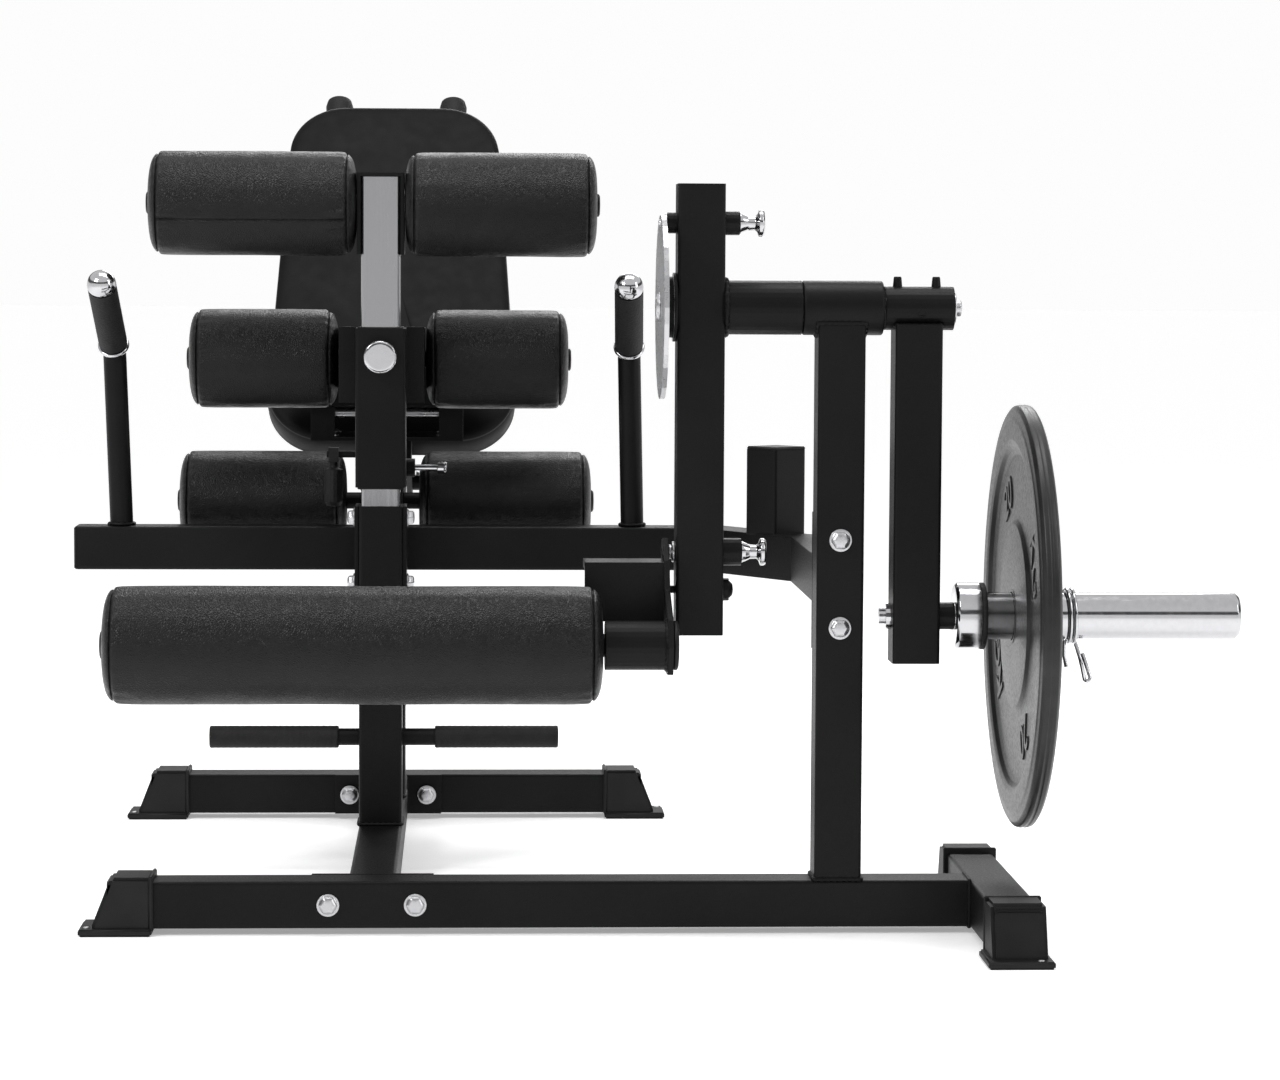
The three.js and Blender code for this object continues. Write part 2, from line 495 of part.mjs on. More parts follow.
// Local frame: x along the machine, y and z from the pivot axis.
function addSwingArm() {
  const x = SWING.x;
  const [low, high] = [SWING.bottom - PIVOT.z, SWING.top - PIVOT.z];
  const shell = bar('z', low, high, TUBE).translate(x, 0, 0);
  const hollow = bar('z', low + WALL, high - WALL, TUBE - 2 * WALL, 1.5).translate(x, 0, 0);
  const spacer = rod('x', x + TUBE / 2 - 1, SWING.spacerEnd, SWING.spacerR, 32);
  const pinZ = DISC.holeRing;
  const lockZ = BRACKET.z + BRACKET.pinRise - PIVOT.z;
  const boltZ = BRACKET.z - PIVOT.z;
  const right = x + TUBE / 2;
  const left = x - TUBE / 2;
  const barrels = [
    rod('x', right - 1, right + 16, 12.5).translate(0, 0, pinZ),
    rod('x', left - 10, left + 1, 11).translate(0, 0, pinZ),
    rod('x', right - 1, right + 20, 14.5).translate(0, 0, lockZ),
  ];
  const bores = [
    rod('x', left - 20, SWING.spacerEnd + 10, SHAFT.bore, 24),
    ...[pinZ, lockZ, boltZ].map((z) => rod('x', left - 20, right + 40, PIN.hole, 8).translate(0, 0, z)),
  ];
  const arm = cut(join(cut(shell, hollow), spacer, ...barrels), ...bores);
  place('swing_arm', arm, paint(), 0, PIVOT.y, PIVOT.z);
  place('arm_pin', pullPin(DISC.left - 2, right + 16 + GAP, 14.5), chrome(),
    0, PIVOT.y, PIVOT.z + pinZ);
  place('bracket_pin', pullPin(BRACKET.plateLeft + 1.4, right + 20 + GAP, 14.5), chrome(),
    0, BRACKET.y, BRACKET.z + BRACKET.pinRise);
}

// Local frame: origin on the bolt that the bracket turns on.
function addLegRoller() {
  const axleY = LEG_ROLLER.y - BRACKET.y;
  const axleZ = LEG_ROLLER.z - BRACKET.z;
  const profile = polygon([[20, -20], [22, 18], [12, 52], [-20, 56], [-46, 34], [-60, 4],
    [axleY - 14, axleZ + 28], [axleY - 30, axleZ], [axleY - 16, axleZ - 29], [axleY + 14, axleZ - 30]]);
  const plate = extrude(profile, 'x', BRACKET.plateLeft, BRACKET.plateRight);
  const holes = Array.from({ length: BRACKET.holes }, (_, step) => {
    const angle = THREE.MathUtils.degToRad(90 + step * BRACKET.step);
    const [y, z] = [BRACKET.pinRise * Math.cos(angle), BRACKET.pinRise * Math.sin(angle)];
    return rod('x', BRACKET.plateLeft - 2, BRACKET.plateRight + 2, PIN.hole, 8).translate(0, y, z);
  });
  const right = SWING.x + TUBE / 2;
  const bolt = rod('x', BRACKET.plateLeft - 1, right + 2, PIN.r);
  const heads = [rod('x', right + GAP, right + 7, 12), rod('x', BRACKET.plateLeft - 7, BRACKET.plateLeft + 1, 11)];
  const stub = rod('x', LEG_ROLLER.right + 2, BRACKET.plateLeft + 1, 25.5, 28).translate(0, axleY, axleZ);
  const axle = rod('x', LEG_ROLLER.left - 3, LEG_ROLLER.right + 3, 12).translate(0, axleY, axleZ);
  const web = box(223, BRACKET.plateLeft + 1, -47, -39, -30, 32);
  const shelf = box(223, BRACKET.plateLeft + 1, -47, 10, 24, 32);
  const bracket = join(cut(plate, ...holes), bolt, ...heads, stub, axle, web, shelf);
  place('roller_bracket', bracket, paint(), 0, BRACKET.y, BRACKET.z);
  const roller = rollerGeometry(LEG_ROLLER.left, LEG_ROLLER.right, LEG_ROLLER.r, LEG_ROLLER.bore);
  place('leg_roller', roller, vinyl(), 0, LEG_ROLLER.y, LEG_ROLLER.z);
}

// Local frame: y and z from the pivot axis.
function addWeightArm() {
  const x = WEIGHT_ARM.x;
  const low = WEIGHT_ARM.bottom - PIVOT.z;
  const hornZ = HORN.z - PIVOT.z;
  const shell = bar('z', low, WEIGHT_ARM.top, TUBE).translate(x, 0, 0);
  const hollow = bar('z', low + WALL, WEIGHT_ARM.top - WALL, TUBE - 2 * WALL, 1.5).translate(x, 0, 0);
  const hub = rod('x', WEIGHT_ARM.hubLeft, WEIGHT_ARM.hubRight, WEIGHT_ARM.hubR, 28);
  const stub = rod('x', x + TUBE / 2 - 1, HORN.collar - 0.5, 14.5).translate(0, 0, hornZ);
  const bores = [
    rod('x', WEIGHT_ARM.hubLeft - 5, WEIGHT_ARM.hubRight + 5, SHAFT.bore, 24),
    rod('x', x - 60, x + 60, HORN.axleR + 0.5, 20).translate(0, 0, hornZ),
  ];
  const arm = cut(join(cut(shell, hollow), hub, stub), ...bores);
  place('weight_arm', arm, paint(), 0, PIVOT.y, PIVOT.z);
  const left = x - TUBE / 2;
  place('horn_axle', turned('x', [[0, left - 14], [9, left - 13], [9, left - 6], [14, left - 6],
    [14, left - GAP], [HORN.axleR, left - GAP], [HORN.axleR, HORN.end - 12], [0, HORN.end - 12]], 20),
    chrome(), 0, PIVOT.y, HORN.z);
}

function addHorn() {
  const { collar, collarR, sleeve, r, end, bore, z } = HORN;
  place('horn_sleeve', closedRing('x', [[bore, collar], [collarR - 2, collar], [collarR, collar + 2],
    [collarR, sleeve - 2], [collarR - 2, sleeve], [r, sleeve], [r, end - 3], [r - 3, end], [bore, end]], 24),
    chrome(), 0, PIVOT.y, z);
  const { left, right } = PLATE;
  place('weight_plate', closedRing('x', [[PLATE.bore, left], [42, left], [46, left + 4], [178, left + 4],
    [184, left], [218, left], [PLATE.r, left + 6], [PLATE.r, right - 6], [218, right], [184, right],
    [178, right - 4], [46, right - 4], [42, right], [PLATE.bore, right]], 32),
    rubber(), 0, PIVOT.y, z);
  const ring = pipe('x', CLIP.left, CLIP.right, CLIP.r, PLATE.bore);
  const handle = box(-2.5, 2.5, -8, 8, -45, 3).rotateY(-0.42).translate(CLIP.right - 4, 0, -CLIP.r);
  place('spring_clip', join(ring, handle), chrome(), 0, PIVOT.y, z);
}

addBases();
addColumn();
addMast();
addRollers('thigh', place, THIGH);
addCarriage();
addRollers('knee', place, KNEE);
addCrossMember();
addElbow();
addUpright();
HANDLES.forEach(addHandle);
addSeatRail();
addRollers('lower', place, LOWER);
addSeat();
addBackrest();
addShaft();
addSwingArm();
addLegRoller();
addWeightArm();
addHorn();

export default machine;
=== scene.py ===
# Studio picture of the leg curl machine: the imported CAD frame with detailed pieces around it.
import json
import math

import bmesh
import bpy
from mathutils import Matrix, Vector, noise


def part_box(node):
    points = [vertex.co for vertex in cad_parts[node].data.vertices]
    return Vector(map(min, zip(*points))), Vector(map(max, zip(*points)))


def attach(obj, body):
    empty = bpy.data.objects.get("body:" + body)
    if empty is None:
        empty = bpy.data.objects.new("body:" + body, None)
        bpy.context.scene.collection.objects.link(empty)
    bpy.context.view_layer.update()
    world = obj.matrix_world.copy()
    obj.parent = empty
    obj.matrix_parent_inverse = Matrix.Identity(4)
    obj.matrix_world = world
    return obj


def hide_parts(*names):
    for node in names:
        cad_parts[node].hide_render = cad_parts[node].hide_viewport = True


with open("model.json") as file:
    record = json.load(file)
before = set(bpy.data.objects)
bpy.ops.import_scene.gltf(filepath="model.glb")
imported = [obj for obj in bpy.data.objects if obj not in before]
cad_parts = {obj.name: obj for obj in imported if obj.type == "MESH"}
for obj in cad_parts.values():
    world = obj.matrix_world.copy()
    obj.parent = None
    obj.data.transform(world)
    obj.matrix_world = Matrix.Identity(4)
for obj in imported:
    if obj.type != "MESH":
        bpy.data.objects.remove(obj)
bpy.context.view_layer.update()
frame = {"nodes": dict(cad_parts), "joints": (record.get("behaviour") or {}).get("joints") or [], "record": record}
JOINTS = {joint["name"]: joint for joint in frame["joints"]}
MM = 0.001
INCLINE = math.radians(56)

AXES = {
    "x": Matrix(((0, 0, 1), (1, 0, 0), (0, 1, 0))).to_4x4(),
    "y": Matrix(((0, 1, 0), (0, 0, 1), (1, 0, 0))).to_4x4(),
    "z": Matrix.Identity(4),
}


# ---- places ----
def middle(node):
    low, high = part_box(node)
    return (low + high) / 2


def low(node):
    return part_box(node)[0]


def high(node):
    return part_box(node)[1]


def mm(x, y, z):
    return Vector((x, y, z)) * MM


# ---- materials ----
def new_material(name, color, roughness, metallic=0.0):
    material = bpy.data.materials.new(name)
    material.use_nodes = True
    shader = material.node_tree.nodes["Principled BSDF"]
    shader.inputs["Base Color"].default_value = (*color, 1)
    shader.inputs["Roughness"].default_value = roughness
    shader.inputs["Metallic"].default_value = metallic
    return material, material.node_tree, shader


def object_space(tree, stretch=(1, 1, 1)):
    place = tree.nodes.new("ShaderNodeTexCoord")
    mapping = tree.nodes.new("ShaderNodeMapping")
    mapping.inputs["Scale"].default_value = stretch
    tree.links.new(place.outputs["Object"], mapping.inputs["Vector"])
    return mapping.outputs["Vector"]


def noise_node(tree, vector, scale, detail=3.0):
    node = tree.nodes.new("ShaderNodeTexNoise")
    node.inputs["Scale"].default_value = scale
    node.inputs["Detail"].default_value = detail
    tree.links.new(vector, node.inputs["Vector"])
    return node.outputs["Fac"]


def cells(tree, vector, scale, feature="F1"):
    node = tree.nodes.new("ShaderNodeTexVoronoi")
    node.feature = feature
    node.inputs["Scale"].default_value = scale
    tree.links.new(vector, node.inputs["Vector"])
    return node.outputs["Distance"]


def ramp(tree, value, dark, bright, start=0.3, end=0.7):
    node = tree.nodes.new("ShaderNodeValToRGB")
    node.color_ramp.elements[0].position = start
    node.color_ramp.elements[1].position = end
    node.color_ramp.elements[0].color = (*dark, 1)
    node.color_ramp.elements[1].color = (*bright, 1)
    tree.links.new(value, node.inputs["Fac"])
    return node.outputs["Color"]


def bump(tree, shader, height, strength, distance, under=None):
    node = tree.nodes.new("ShaderNodeBump")
    node.inputs["Strength"].default_value = strength
    node.inputs["Distance"].default_value = distance
    tree.links.new(height, node.inputs["Height"])
    if under is not None:
        tree.links.new(under, node.inputs["Normal"])
    tree.links.new(node.outputs["Normal"], shader.inputs["Normal"])
    return node.outputs["Normal"]


def grey(level):
    return (level, level, level * 1.03)


# Catches light along the corners, as the rolled edges of square tube do.
def soft_edges(tree, radius=0.0022):
    node = tree.nodes.new("ShaderNodeBevel")
    node.samples = 4
    node.inputs["Radius"].default_value = radius
    return node.outputs["Normal"]


def powder_coat():
    material, tree, shader = new_material("powder_coat", grey(0.006), 0.42)
    space = object_space(tree)
    tree.links.new(ramp(tree, noise_node(tree, space, 9), grey(0.0025), grey(0.005)),
                   shader.inputs["Base Color"])
    tree.links.new(ramp(tree, noise_node(tree, space, 420), grey(0.36), grey(0.5)),
                   shader.inputs["Roughness"])
    shader.inputs["Specular IOR Level"].default_value = 0.15
    bump(tree, shader, noise_node(tree, space, 620, 2), 0.2, 0.0006, soft_edges(tree))
    return material


def vinyl():
    material, tree, shader = new_material("vinyl", grey(0.006), 0.36)
    space = object_space(tree)
    tree.links.new(ramp(tree, noise_node(tree, space, 14), grey(0.0025), grey(0.005)),
                   shader.inputs["Base Color"])
    tree.links.new(ramp(tree, noise_node(tree, space, 55), grey(0.3), grey(0.44)),
                   shader.inputs["Roughness"])
    shader.inputs["Specular IOR Level"].default_value = 0.24
    grain = bump(tree, shader, cells(tree, space, 430, "DISTANCE_TO_EDGE"), 0.9, 0.0011)
    bump(tree, shader, noise_node(tree, space, 130), 0.2, 0.0014, grain)
    return material


def pad_vinyl():
    material, tree, shader = new_material("pad_vinyl", grey(0.005), 0.5)
    space = object_space(tree)
    tree.links.new(ramp(tree, noise_node(tree, space, 20), grey(0.0025), grey(0.0045)),
                   shader.inputs["Base Color"])
    tree.links.new(ramp(tree, noise_node(tree, space, 60), grey(0.46), grey(0.56)),
                   shader.inputs["Roughness"])
    shader.inputs["Specular IOR Level"].default_value = 0.1
    bump(tree, shader, cells(tree, space, 620, "DISTANCE_TO_EDGE"), 0.22, 0.0004)
    return material


def foot_plastic():
    material, tree, shader = new_material("foot_plastic", grey(0.008), 0.5)
    space = object_space(tree)
    tree.links.new(ramp(tree, noise_node(tree, space, 30), grey(0.004), grey(0.008)),
                   shader.inputs["Base Color"])
    shader.inputs["Specular IOR Level"].default_value = 0.24
    bump(tree, shader, noise_node(tree, space, 1400, 2), 0.25, 0.0004)
    return material


def grip_rubber():
    material, tree, shader = new_material("grip_rubber", grey(0.008), 0.62)
    space = object_space(tree)
    tree.links.new(ramp(tree, noise_node(tree, space, 60), grey(0.004), grey(0.009)),
                   shader.inputs["Base Color"])
    shader.inputs["Specular IOR Level"].default_value = 0.3
    bump(tree, shader, cells(tree, space, 430), 0.4, 0.0009)
    return material


def polished_metal(name, level, rough_low, rough_high, stretch):
    material, tree, shader = new_material(name, grey(level), rough_low, 1.0)
    space = object_space(tree, stretch)
    streaks = noise_node(tree, space, 160, 4)
    tree.links.new(ramp(tree, streaks, grey(rough_low), grey(rough_high)), shader.inputs["Roughness"])
    tree.links.new(ramp(tree, streaks, grey(level * 0.94), grey(level)), shader.inputs["Base Color"])
    bump(tree, shader, streaks, 0.05, 0.0002)
    return material


def plate_coat():
    material, tree, shader = new_material("plate_coat", grey(0.03), 0.42)
    space = object_space(tree)
    tree.links.new(ramp(tree, noise_node(tree, space, 38, 6), grey(0.009), grey(0.019)),
                   shader.inputs["Base Color"])
    tree.links.new(ramp(tree, noise_node(tree, space, 300), grey(0.28), grey(0.42)),
                   shader.inputs["Roughness"])
    shader.inputs["Specular IOR Level"].default_value = 0.32
    bump(tree, shader, noise_node(tree, space, 700), 0.25, 0.0006)
    return material


PAINT = powder_coat()
VINYL = vinyl()
PAD_VINYL = pad_vinyl()
PLASTIC = foot_plastic()
GRIP = grip_rubber()
CHROME = polished_metal("chrome_plate", 0.55, 0.07, 0.17, (1, 1, 1))
MAST_CHROME = polished_metal("mast_chrome", 0.34, 0.14, 0.3, (1, 1, 0.03))
ZINC = polished_metal("zinc_plate", 0.55, 0.24, 0.4, (1, 1, 1))
STEEL = polished_metal("ground_steel", 0.55, 0.3, 0.45, (0.05, 1, 1))
RUBBER_COAT = plate_coat()

SLOT_MATERIALS = {
    "frame_paint": PAINT, "foot_plastic": PLASTIC, "chrome": CHROME, "bearing_steel": STEEL,
    "grip_rubber": GRIP, "vinyl": VINYL, "plate_coat": RUBBER_COAT,
}


def finish_cad_nodes():
    for part in frame["record"]["subparts"]:
        node = frame["nodes"][part["node"]]
        node.data.materials.clear()
        node.data.materials.append(SLOT_MATERIALS[part["material_slot"]])
        node.data.polygons.foreach_set("use_smooth", [True] * len(node.data.polygons))
        node.data.set_sharp_from_angle(angle=math.radians(32))
    for name, material in (("mast", MAST_CHROME), ("index_disc", ZINC)):
        frame["nodes"][name].data.materials[0] = material


# ---- making pieces ----
def add_piece(name, mesh, body, material, replaced=(), place=None):
    piece = bpy.data.objects.new(name, mesh)
    bpy.context.scene.collection.objects.link(piece)
    if place is not None:
        piece.data.transform(place)
    piece.data.materials.append(material)
    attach(piece, body)
    if replaced:
        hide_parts(*replaced)
    return piece


def mesh_from(name, vertices, faces, sharp=35):
    mesh = bpy.data.meshes.new(name)
    mesh.from_pydata([tuple(v) for v in vertices], [], faces)
    mesh.validate()
    builder = bmesh.new()
    builder.from_mesh(mesh)
    bmesh.ops.remove_doubles(builder, verts=builder.verts, dist=1e-6)
    bmesh.ops.recalc_face_normals(builder, faces=builder.faces)
    builder.to_mesh(mesh)
    builder.free()
    mesh.polygons.foreach_set("use_smooth", [True] * len(mesh.polygons))
    mesh.set_sharp_from_angle(angle=math.radians(sharp))
    return mesh


def ring_faces(rings, count, closed_loop):
    faces = []
    last = rings if closed_loop else rings - 1
    for i in range(last):
        j = (i + 1) % rings
        for k in range(count):
            n = (k + 1) % count
            faces.append((i * count + k, i * count + n, j * count + n, j * count + k))
    return faces


# A turned piece from [radius, along] points in mm. A profile off the axis closes on itself.
def turned_mesh(name, profile, segments=64):
    on_axis = profile[0][0] == 0 and profile[-1][0] == 0
    vertices = []
    for r, along in profile:
        for k in range(segments):
            angle = 2 * math.pi * k / segments
            vertices.append(mm(r * math.cos(angle), r * math.sin(angle), along))
    return mesh_from(name, vertices, ring_faces(len(profile), segments, not on_axis))


def rounded(profile, radius=1.0):
    points = []
    count = len(profile)
    closed = not (profile[0][0] == 0 and profile[-1][0] == 0)
    for i, point in enumerate(profile):
        here = Vector(point)
        if not closed and i in (0, count - 1):
            points.append(tuple(here))
            continue
        before = Vector(profile[i - 1]) - here
        after = Vector(profile[(i + 1) % count]) - here
        reach = min(radius, before.length / 2.2, after.length / 2.2)
        start = here + before.normalized() * reach
        end = here + after.normalized() * reach
        for t in (0, 0.33, 0.67, 1):
            points.append(tuple((1 - t) ** 2 * start + 2 * t * (1 - t) * here + t * t * end))
    return points


def turned_at(name, profile, axis, origin, body, material, replaced=(), segments=64, edge=1.0):
    mesh = turned_mesh(name, rounded(profile, edge), segments)
    return add_piece(name, mesh, body, material, replaced, Matrix.Translation(origin) @ AXES[axis])


def turned_along(name, profile, direction, origin, body, material, replaced=(), segments=64, edge=1.0):
    mesh = turned_mesh(name, rounded(profile, edge), segments)
    turn = Vector(direction).to_track_quat("Z", "Y").to_matrix().to_4x4()
    return add_piece(name, mesh, body, material, replaced, Matrix.Translation(origin) @ turn)


def beveled_box(name, lowest, highest, body, material, replaced=(), bevel=0.0015, place=None):
    builder = bmesh.new()
    bmesh.ops.create_cube(builder, size=1)
    size = Vector(highest) - Vector(lowest)
    centre = (Vector(highest) + Vector(lowest)) / 2
    bmesh.ops.scale(builder, vec=size, verts=builder.verts)
    bmesh.ops.translate(builder, vec=centre, verts=builder.verts)
    bmesh.ops.bevel(builder, geom=builder.edges, offset=bevel, segments=3, affect="EDGES")
    mesh = bpy.data.meshes.new(name)
    builder.to_mesh(mesh)
    builder.free()
    mesh.polygons.foreach_set("use_smooth", [True] * len(mesh.polygons))
    mesh.set_sharp_from_angle(angle=math.radians(50))
    return add_piece(name, mesh, body, material, replaced, place)


# A tube swept along points in mesh code; radius is one number, or one for each point.
def sweep_mesh(name, points, radius, cyclic=False, sides=12):
    points = [Vector(point) for point in points]
    count = len(points)
    radii = radius if isinstance(radius, list) else [radius] * count
    ahead = []
    for i in range(count):
        first = points[i - 1] if i or cyclic else points[0]
        ahead.append((points[(i + 1) % count] if i < count - 1 or cyclic else points[i]) - first)
    across = ahead[0].orthogonal().normalized()
    vertices = []
    for i, point in enumerate(points):
        way = ahead[i].normalized()
        across = (across - way * across.dot(way)).normalized()
        up = way.cross(across)
        for k in range(sides):
            angle = 2 * math.pi * k / sides
            vertices.append(point + radii[i] * (across * math.cos(angle) + up * math.sin(angle)))
    faces = ring_faces(count, sides, cyclic)
    if not cyclic:
        faces.append(tuple(range(sides)))
        faces.append(tuple(range((count - 1) * sides, count * sides)))
    return mesh_from(name, vertices, faces, 60)


def wire(name, points, radius, body, material, replaced=(), cyclic=False, sides=16):
    return add_piece(name, sweep_mesh(name, points, radius, cyclic, sides), body, material, replaced)


# Domed hex bolt head on its washer, pointing along a direction.
def bolt(name, origin, direction, body, r=9.5, washer=12.0, height=7.0):
    profile = [[0, 0], [washer, 0], [washer, 1.8], [r + 0.4, 1.8], [r, height - 2.2],
               [r * 0.72, height - 0.5], [0, height]]
    mesh = turned_mesh(name, rounded(profile, 0.5), 48)
    for vertex in mesh.vertices:
        if vertex.co.z > 2.2 * MM:
            angle = math.atan2(vertex.co.y, vertex.co.x)
            flat = math.cos(math.pi / 6) / math.cos((angle % (math.pi / 3)) - math.pi / 6)
            vertex.co.x *= flat
            vertex.co.y *= flat
    turn = Vector(direction).to_track_quat("Z", "Y").to_matrix().to_4x4()
    return add_piece(name, mesh, body, ZINC, (), Matrix.Translation(origin) @ turn)


# Weld bead: a lumpy tube along a closed or open run of points.
def weld(name, points, body, radius=2.2, cyclic=False):
    fine = []
    count = len(points)
    for i in range(count if cyclic else count - 1):
        a, b = Vector(points[i]), Vector(points[(i + 1) % count])
        steps = max(1, round((b - a).length / 0.002))
        fine += [a.lerp(b, step / steps) for step in range(steps)]
    if not cyclic:
        fine.append(Vector(points[-1]))
    radii = [radius * MM * (0.88 + 0.2 * math.sin(i * 1.9) + 0.12 * noise.noise(Vector((i * 0.7, 3, 1))))
             for i in range(len(fine))]
    return wire(name, fine, radii, body, PAINT, (), cyclic, 8)


def square_run(centre, half_a, half_b, plane):
    corners = ((-1, -1), (1, -1), (1, 1), (-1, 1))
    lay = {"xy": lambda a, b: (a, b, 0), "yz": lambda a, b: (0, a, b), "xz": lambda a, b: (a, 0, b)}[plane]
    return [centre + Vector(lay(a * half_a, b * half_b)) for a, b in corners]


def circle_run(centre, r, axis, count=40):
    turn = AXES[axis]
    return [centre + turn @ Vector((r * math.cos(t), r * math.sin(t), 0))
            for t in (2 * math.pi * k / count for k in range(count))]


# ---- padded rollers ----
SEAM = 11.0
ROUND_STEPS = 108


# Radius and distance along, from one end face over its seam to the middle, and mirrored.
def roller_profile(length, r, bore):
    end = [(bore, 1.6), (18, 0.5), (r * 0.5, 0.2), (r - 20, 1.4), (r - 12, 3.2), (r - 7, 5.6), (r - 4.2, 8),
           (r - 3.2, SEAM - 1.2), (r - 5.4, SEAM - 0.2), (r - 3.6, SEAM + 0.5), (r - 1.2, SEAM + 1.8),
           (r - 0.5, SEAM + 5), (r - 0.2, SEAM + 13), (r, SEAM + 24)]
    middle_steps = 16
    inner = length - 2 * end[-1][1]
    line = list(end)
    line += [(r, end[-1][1] + inner * i / middle_steps) for i in range(1, middle_steps)]
    line += [(radius, length - along) for radius, along in reversed(end)]
    return line


# How far a cover stands off its profile: slow waves, puckers at the end seams, and the seam along it.
def skin_shift(angle, along, near_end, from_seam, seed):
    y, z = math.cos(angle), math.sin(angle)
    slow = 0.45 * noise.noise(Vector((along * 0.012, y * 1.4, z * 1.4 + seed * 7.3)))
    around = Vector((y * 9, z * 9, seed * 3.1))
    stitches = 0.45 * math.cos(27 * angle + 2 * noise.noise(around / 3))
    gather = math.exp(-abs(near_end - SEAM - 3) / 7) if near_end > 1 else 0
    shift = slow + gather * (noise.noise(around) + stitches)
    if from_seam < 19:
        shift -= 1.9 * math.exp(-((near_end - SEAM - 8) / 8) ** 2) * math.cos(from_seam * 0.42)
    if near_end > SEAM:
        shift -= 1.7 * math.exp(-(from_seam / 1.3) ** 2)
    return shift


def pad_roller(node, body, seam_angle, seed):
    lowest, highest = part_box(node)
    r = (highest.z - lowest.z) / 2 / MM
    length = (highest.x - lowest.x) / MM
    bore = 13.5 if node == "leg_roller" else 11.5
    angles = [2 * math.pi * k / ROUND_STEPS for k in range(ROUND_STEPS)]
    angles += [seam_angle + math.radians(d) for d in (-2.1, -0.9, -0.25, 0.25, 0.9, 2.1)]
    angles = sorted(a % (2 * math.pi) for a in angles)
    profile = roller_profile(length, r, bore)
    vertices = []
    for radius, along in profile:
        near_end = min(along, length - along)
        for angle in angles:
            from_seam = abs((angle - seam_angle + math.pi) % (2 * math.pi) - math.pi) * r
            skin = min(1.0, max(0.0, (radius - r * 0.6) / (r * 0.3)))
            radial = radius + skin * skin_shift(angle, along, near_end, from_seam, seed)
            vertices.append(mm(radial * math.cos(angle), radial * math.sin(angle), along))
    faces = ring_faces(len(profile), len(angles), True)
    mesh = mesh_from(f"{node}_cover", vertices, faces, 80)
    origin = Vector((lowest.x, (lowest.y + highest.y) / 2, (lowest.z + highest.z) / 2))
    piece = add_piece(f"{node}_cover", mesh, body, VINYL, (node,), Matrix.Translation(origin) @ AXES["x"])
    soften = piece.modifiers.new("soften", "SUBSURF")
    soften.levels = soften.render_levels = 1
    return piece


def add_rollers():
    specs = [("thigh_roller_left", math.radians(200)), ("thigh_roller_right", math.radians(60)),
             ("knee_roller_left", math.radians(30)), ("knee_roller_right", math.radians(60)),
             ("lower_roller_left", math.radians(20)), ("lower_roller_right", math.radians(40)),
             ("leg_roller", math.radians(20))]
    for seed, (node, seam_angle) in enumerate(specs):
        pad_roller(node, node, seam_angle, seed + 1)
    for node, body in (("thigh", "frame"), ("lower", "frame"), ("knee", "knee_carriage")):
        for side, sign in (("left", -1), ("right", 1)):
            lowest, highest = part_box(f"{node}_roller_{side}")
            tip = middle(f"{node}_roller_{side}")
            tip.x = (lowest.x if sign < 0 else highest.x) + sign * 3 * MM
            turned_along(f"{node}_end_cap_{side}", [[0, -2.6], [13, -2.6], [13.4, -1.4], [11, 0.3], [0, 0.8]],
                         (sign, 0, 0), tip, body, PLASTIC)


# ---- seat and backrest ----
CORNER_STEPS = 12
EDGE_STEPS = 8


# One ring round a cushion, with round corners.
def pad_outline(half_low, half_high, length, r, inset):
    a, b = half_low - inset, half_high - inset
    corner = max(r - inset, 6)
    bottom, top = inset, length - inset
    points = []
    for cx, cy, start in ((a - corner, bottom + corner, -90), (b - corner, top - corner, 0),
                          (-b + corner, top - corner, 90), (-a + corner, bottom + corner, 180)):
        for k in range(CORNER_STEPS + 1):
            angle = math.radians(start + 90 * k / CORNER_STEPS)
            points.append((cx + corner * math.cos(angle), cy + corner * math.sin(angle)))
    dense = []
    for i, point in enumerate(points):
        dense.append(point)
        if i % (CORNER_STEPS + 1) == CORNER_STEPS:
            following = points[(i + 1) % len(points)]
            dx, dy = following[0] - point[0], following[1] - point[1]
            for k in range(1, EDGE_STEPS):
                dense.append((point[0] + dx * k / EDGE_STEPS, point[1] + dy * k / EDGE_STEPS))
    return dense


# A cushion built up in rings, each an inset and a height, and closed by a crowned top.
def pad_mesh(name, half_low, half_high, length, r, thick, crown):
    levels = [(10, 0.5), (3, 0.5), (1, 2), (1.6, 6), (0.6, thick * 0.3), (0.3, thick * 0.55),
              (1.4, thick - 13), (3.0, thick - 10.5), (1.6, thick - 8.5), (3.6, thick - 5), (8, thick - 2.2),
              (14, thick - 0.8)]
    steps = 9
    deepest = min(half_low, half_high) - 16
    for i in range(1, steps + 1):
        share = i / steps
        levels.append((14 + (deepest - 14) * share, thick - 0.8 + crown * (1 - (1 - share) ** 2)))
    rings = [pad_outline(half_low, half_high, length, r, inset) for inset, _ in levels]
    count = len(rings[0])
    vertices = [mm(x, y, z) for ring, (_, z) in zip(rings, levels) for x, y in ring]
    for vertex in vertices:
        if vertex.z > thick * 0.2 * MM:
            vertex.z += 0.5 * MM * noise.noise(vertex * 9)
    faces = ring_faces(len(rings), count, False)
    faces.append(tuple(range(count))[::-1])
    faces.append(tuple(range((len(rings) - 1) * count, len(rings) * count)))
    return mesh_from(name, vertices, faces, 80)


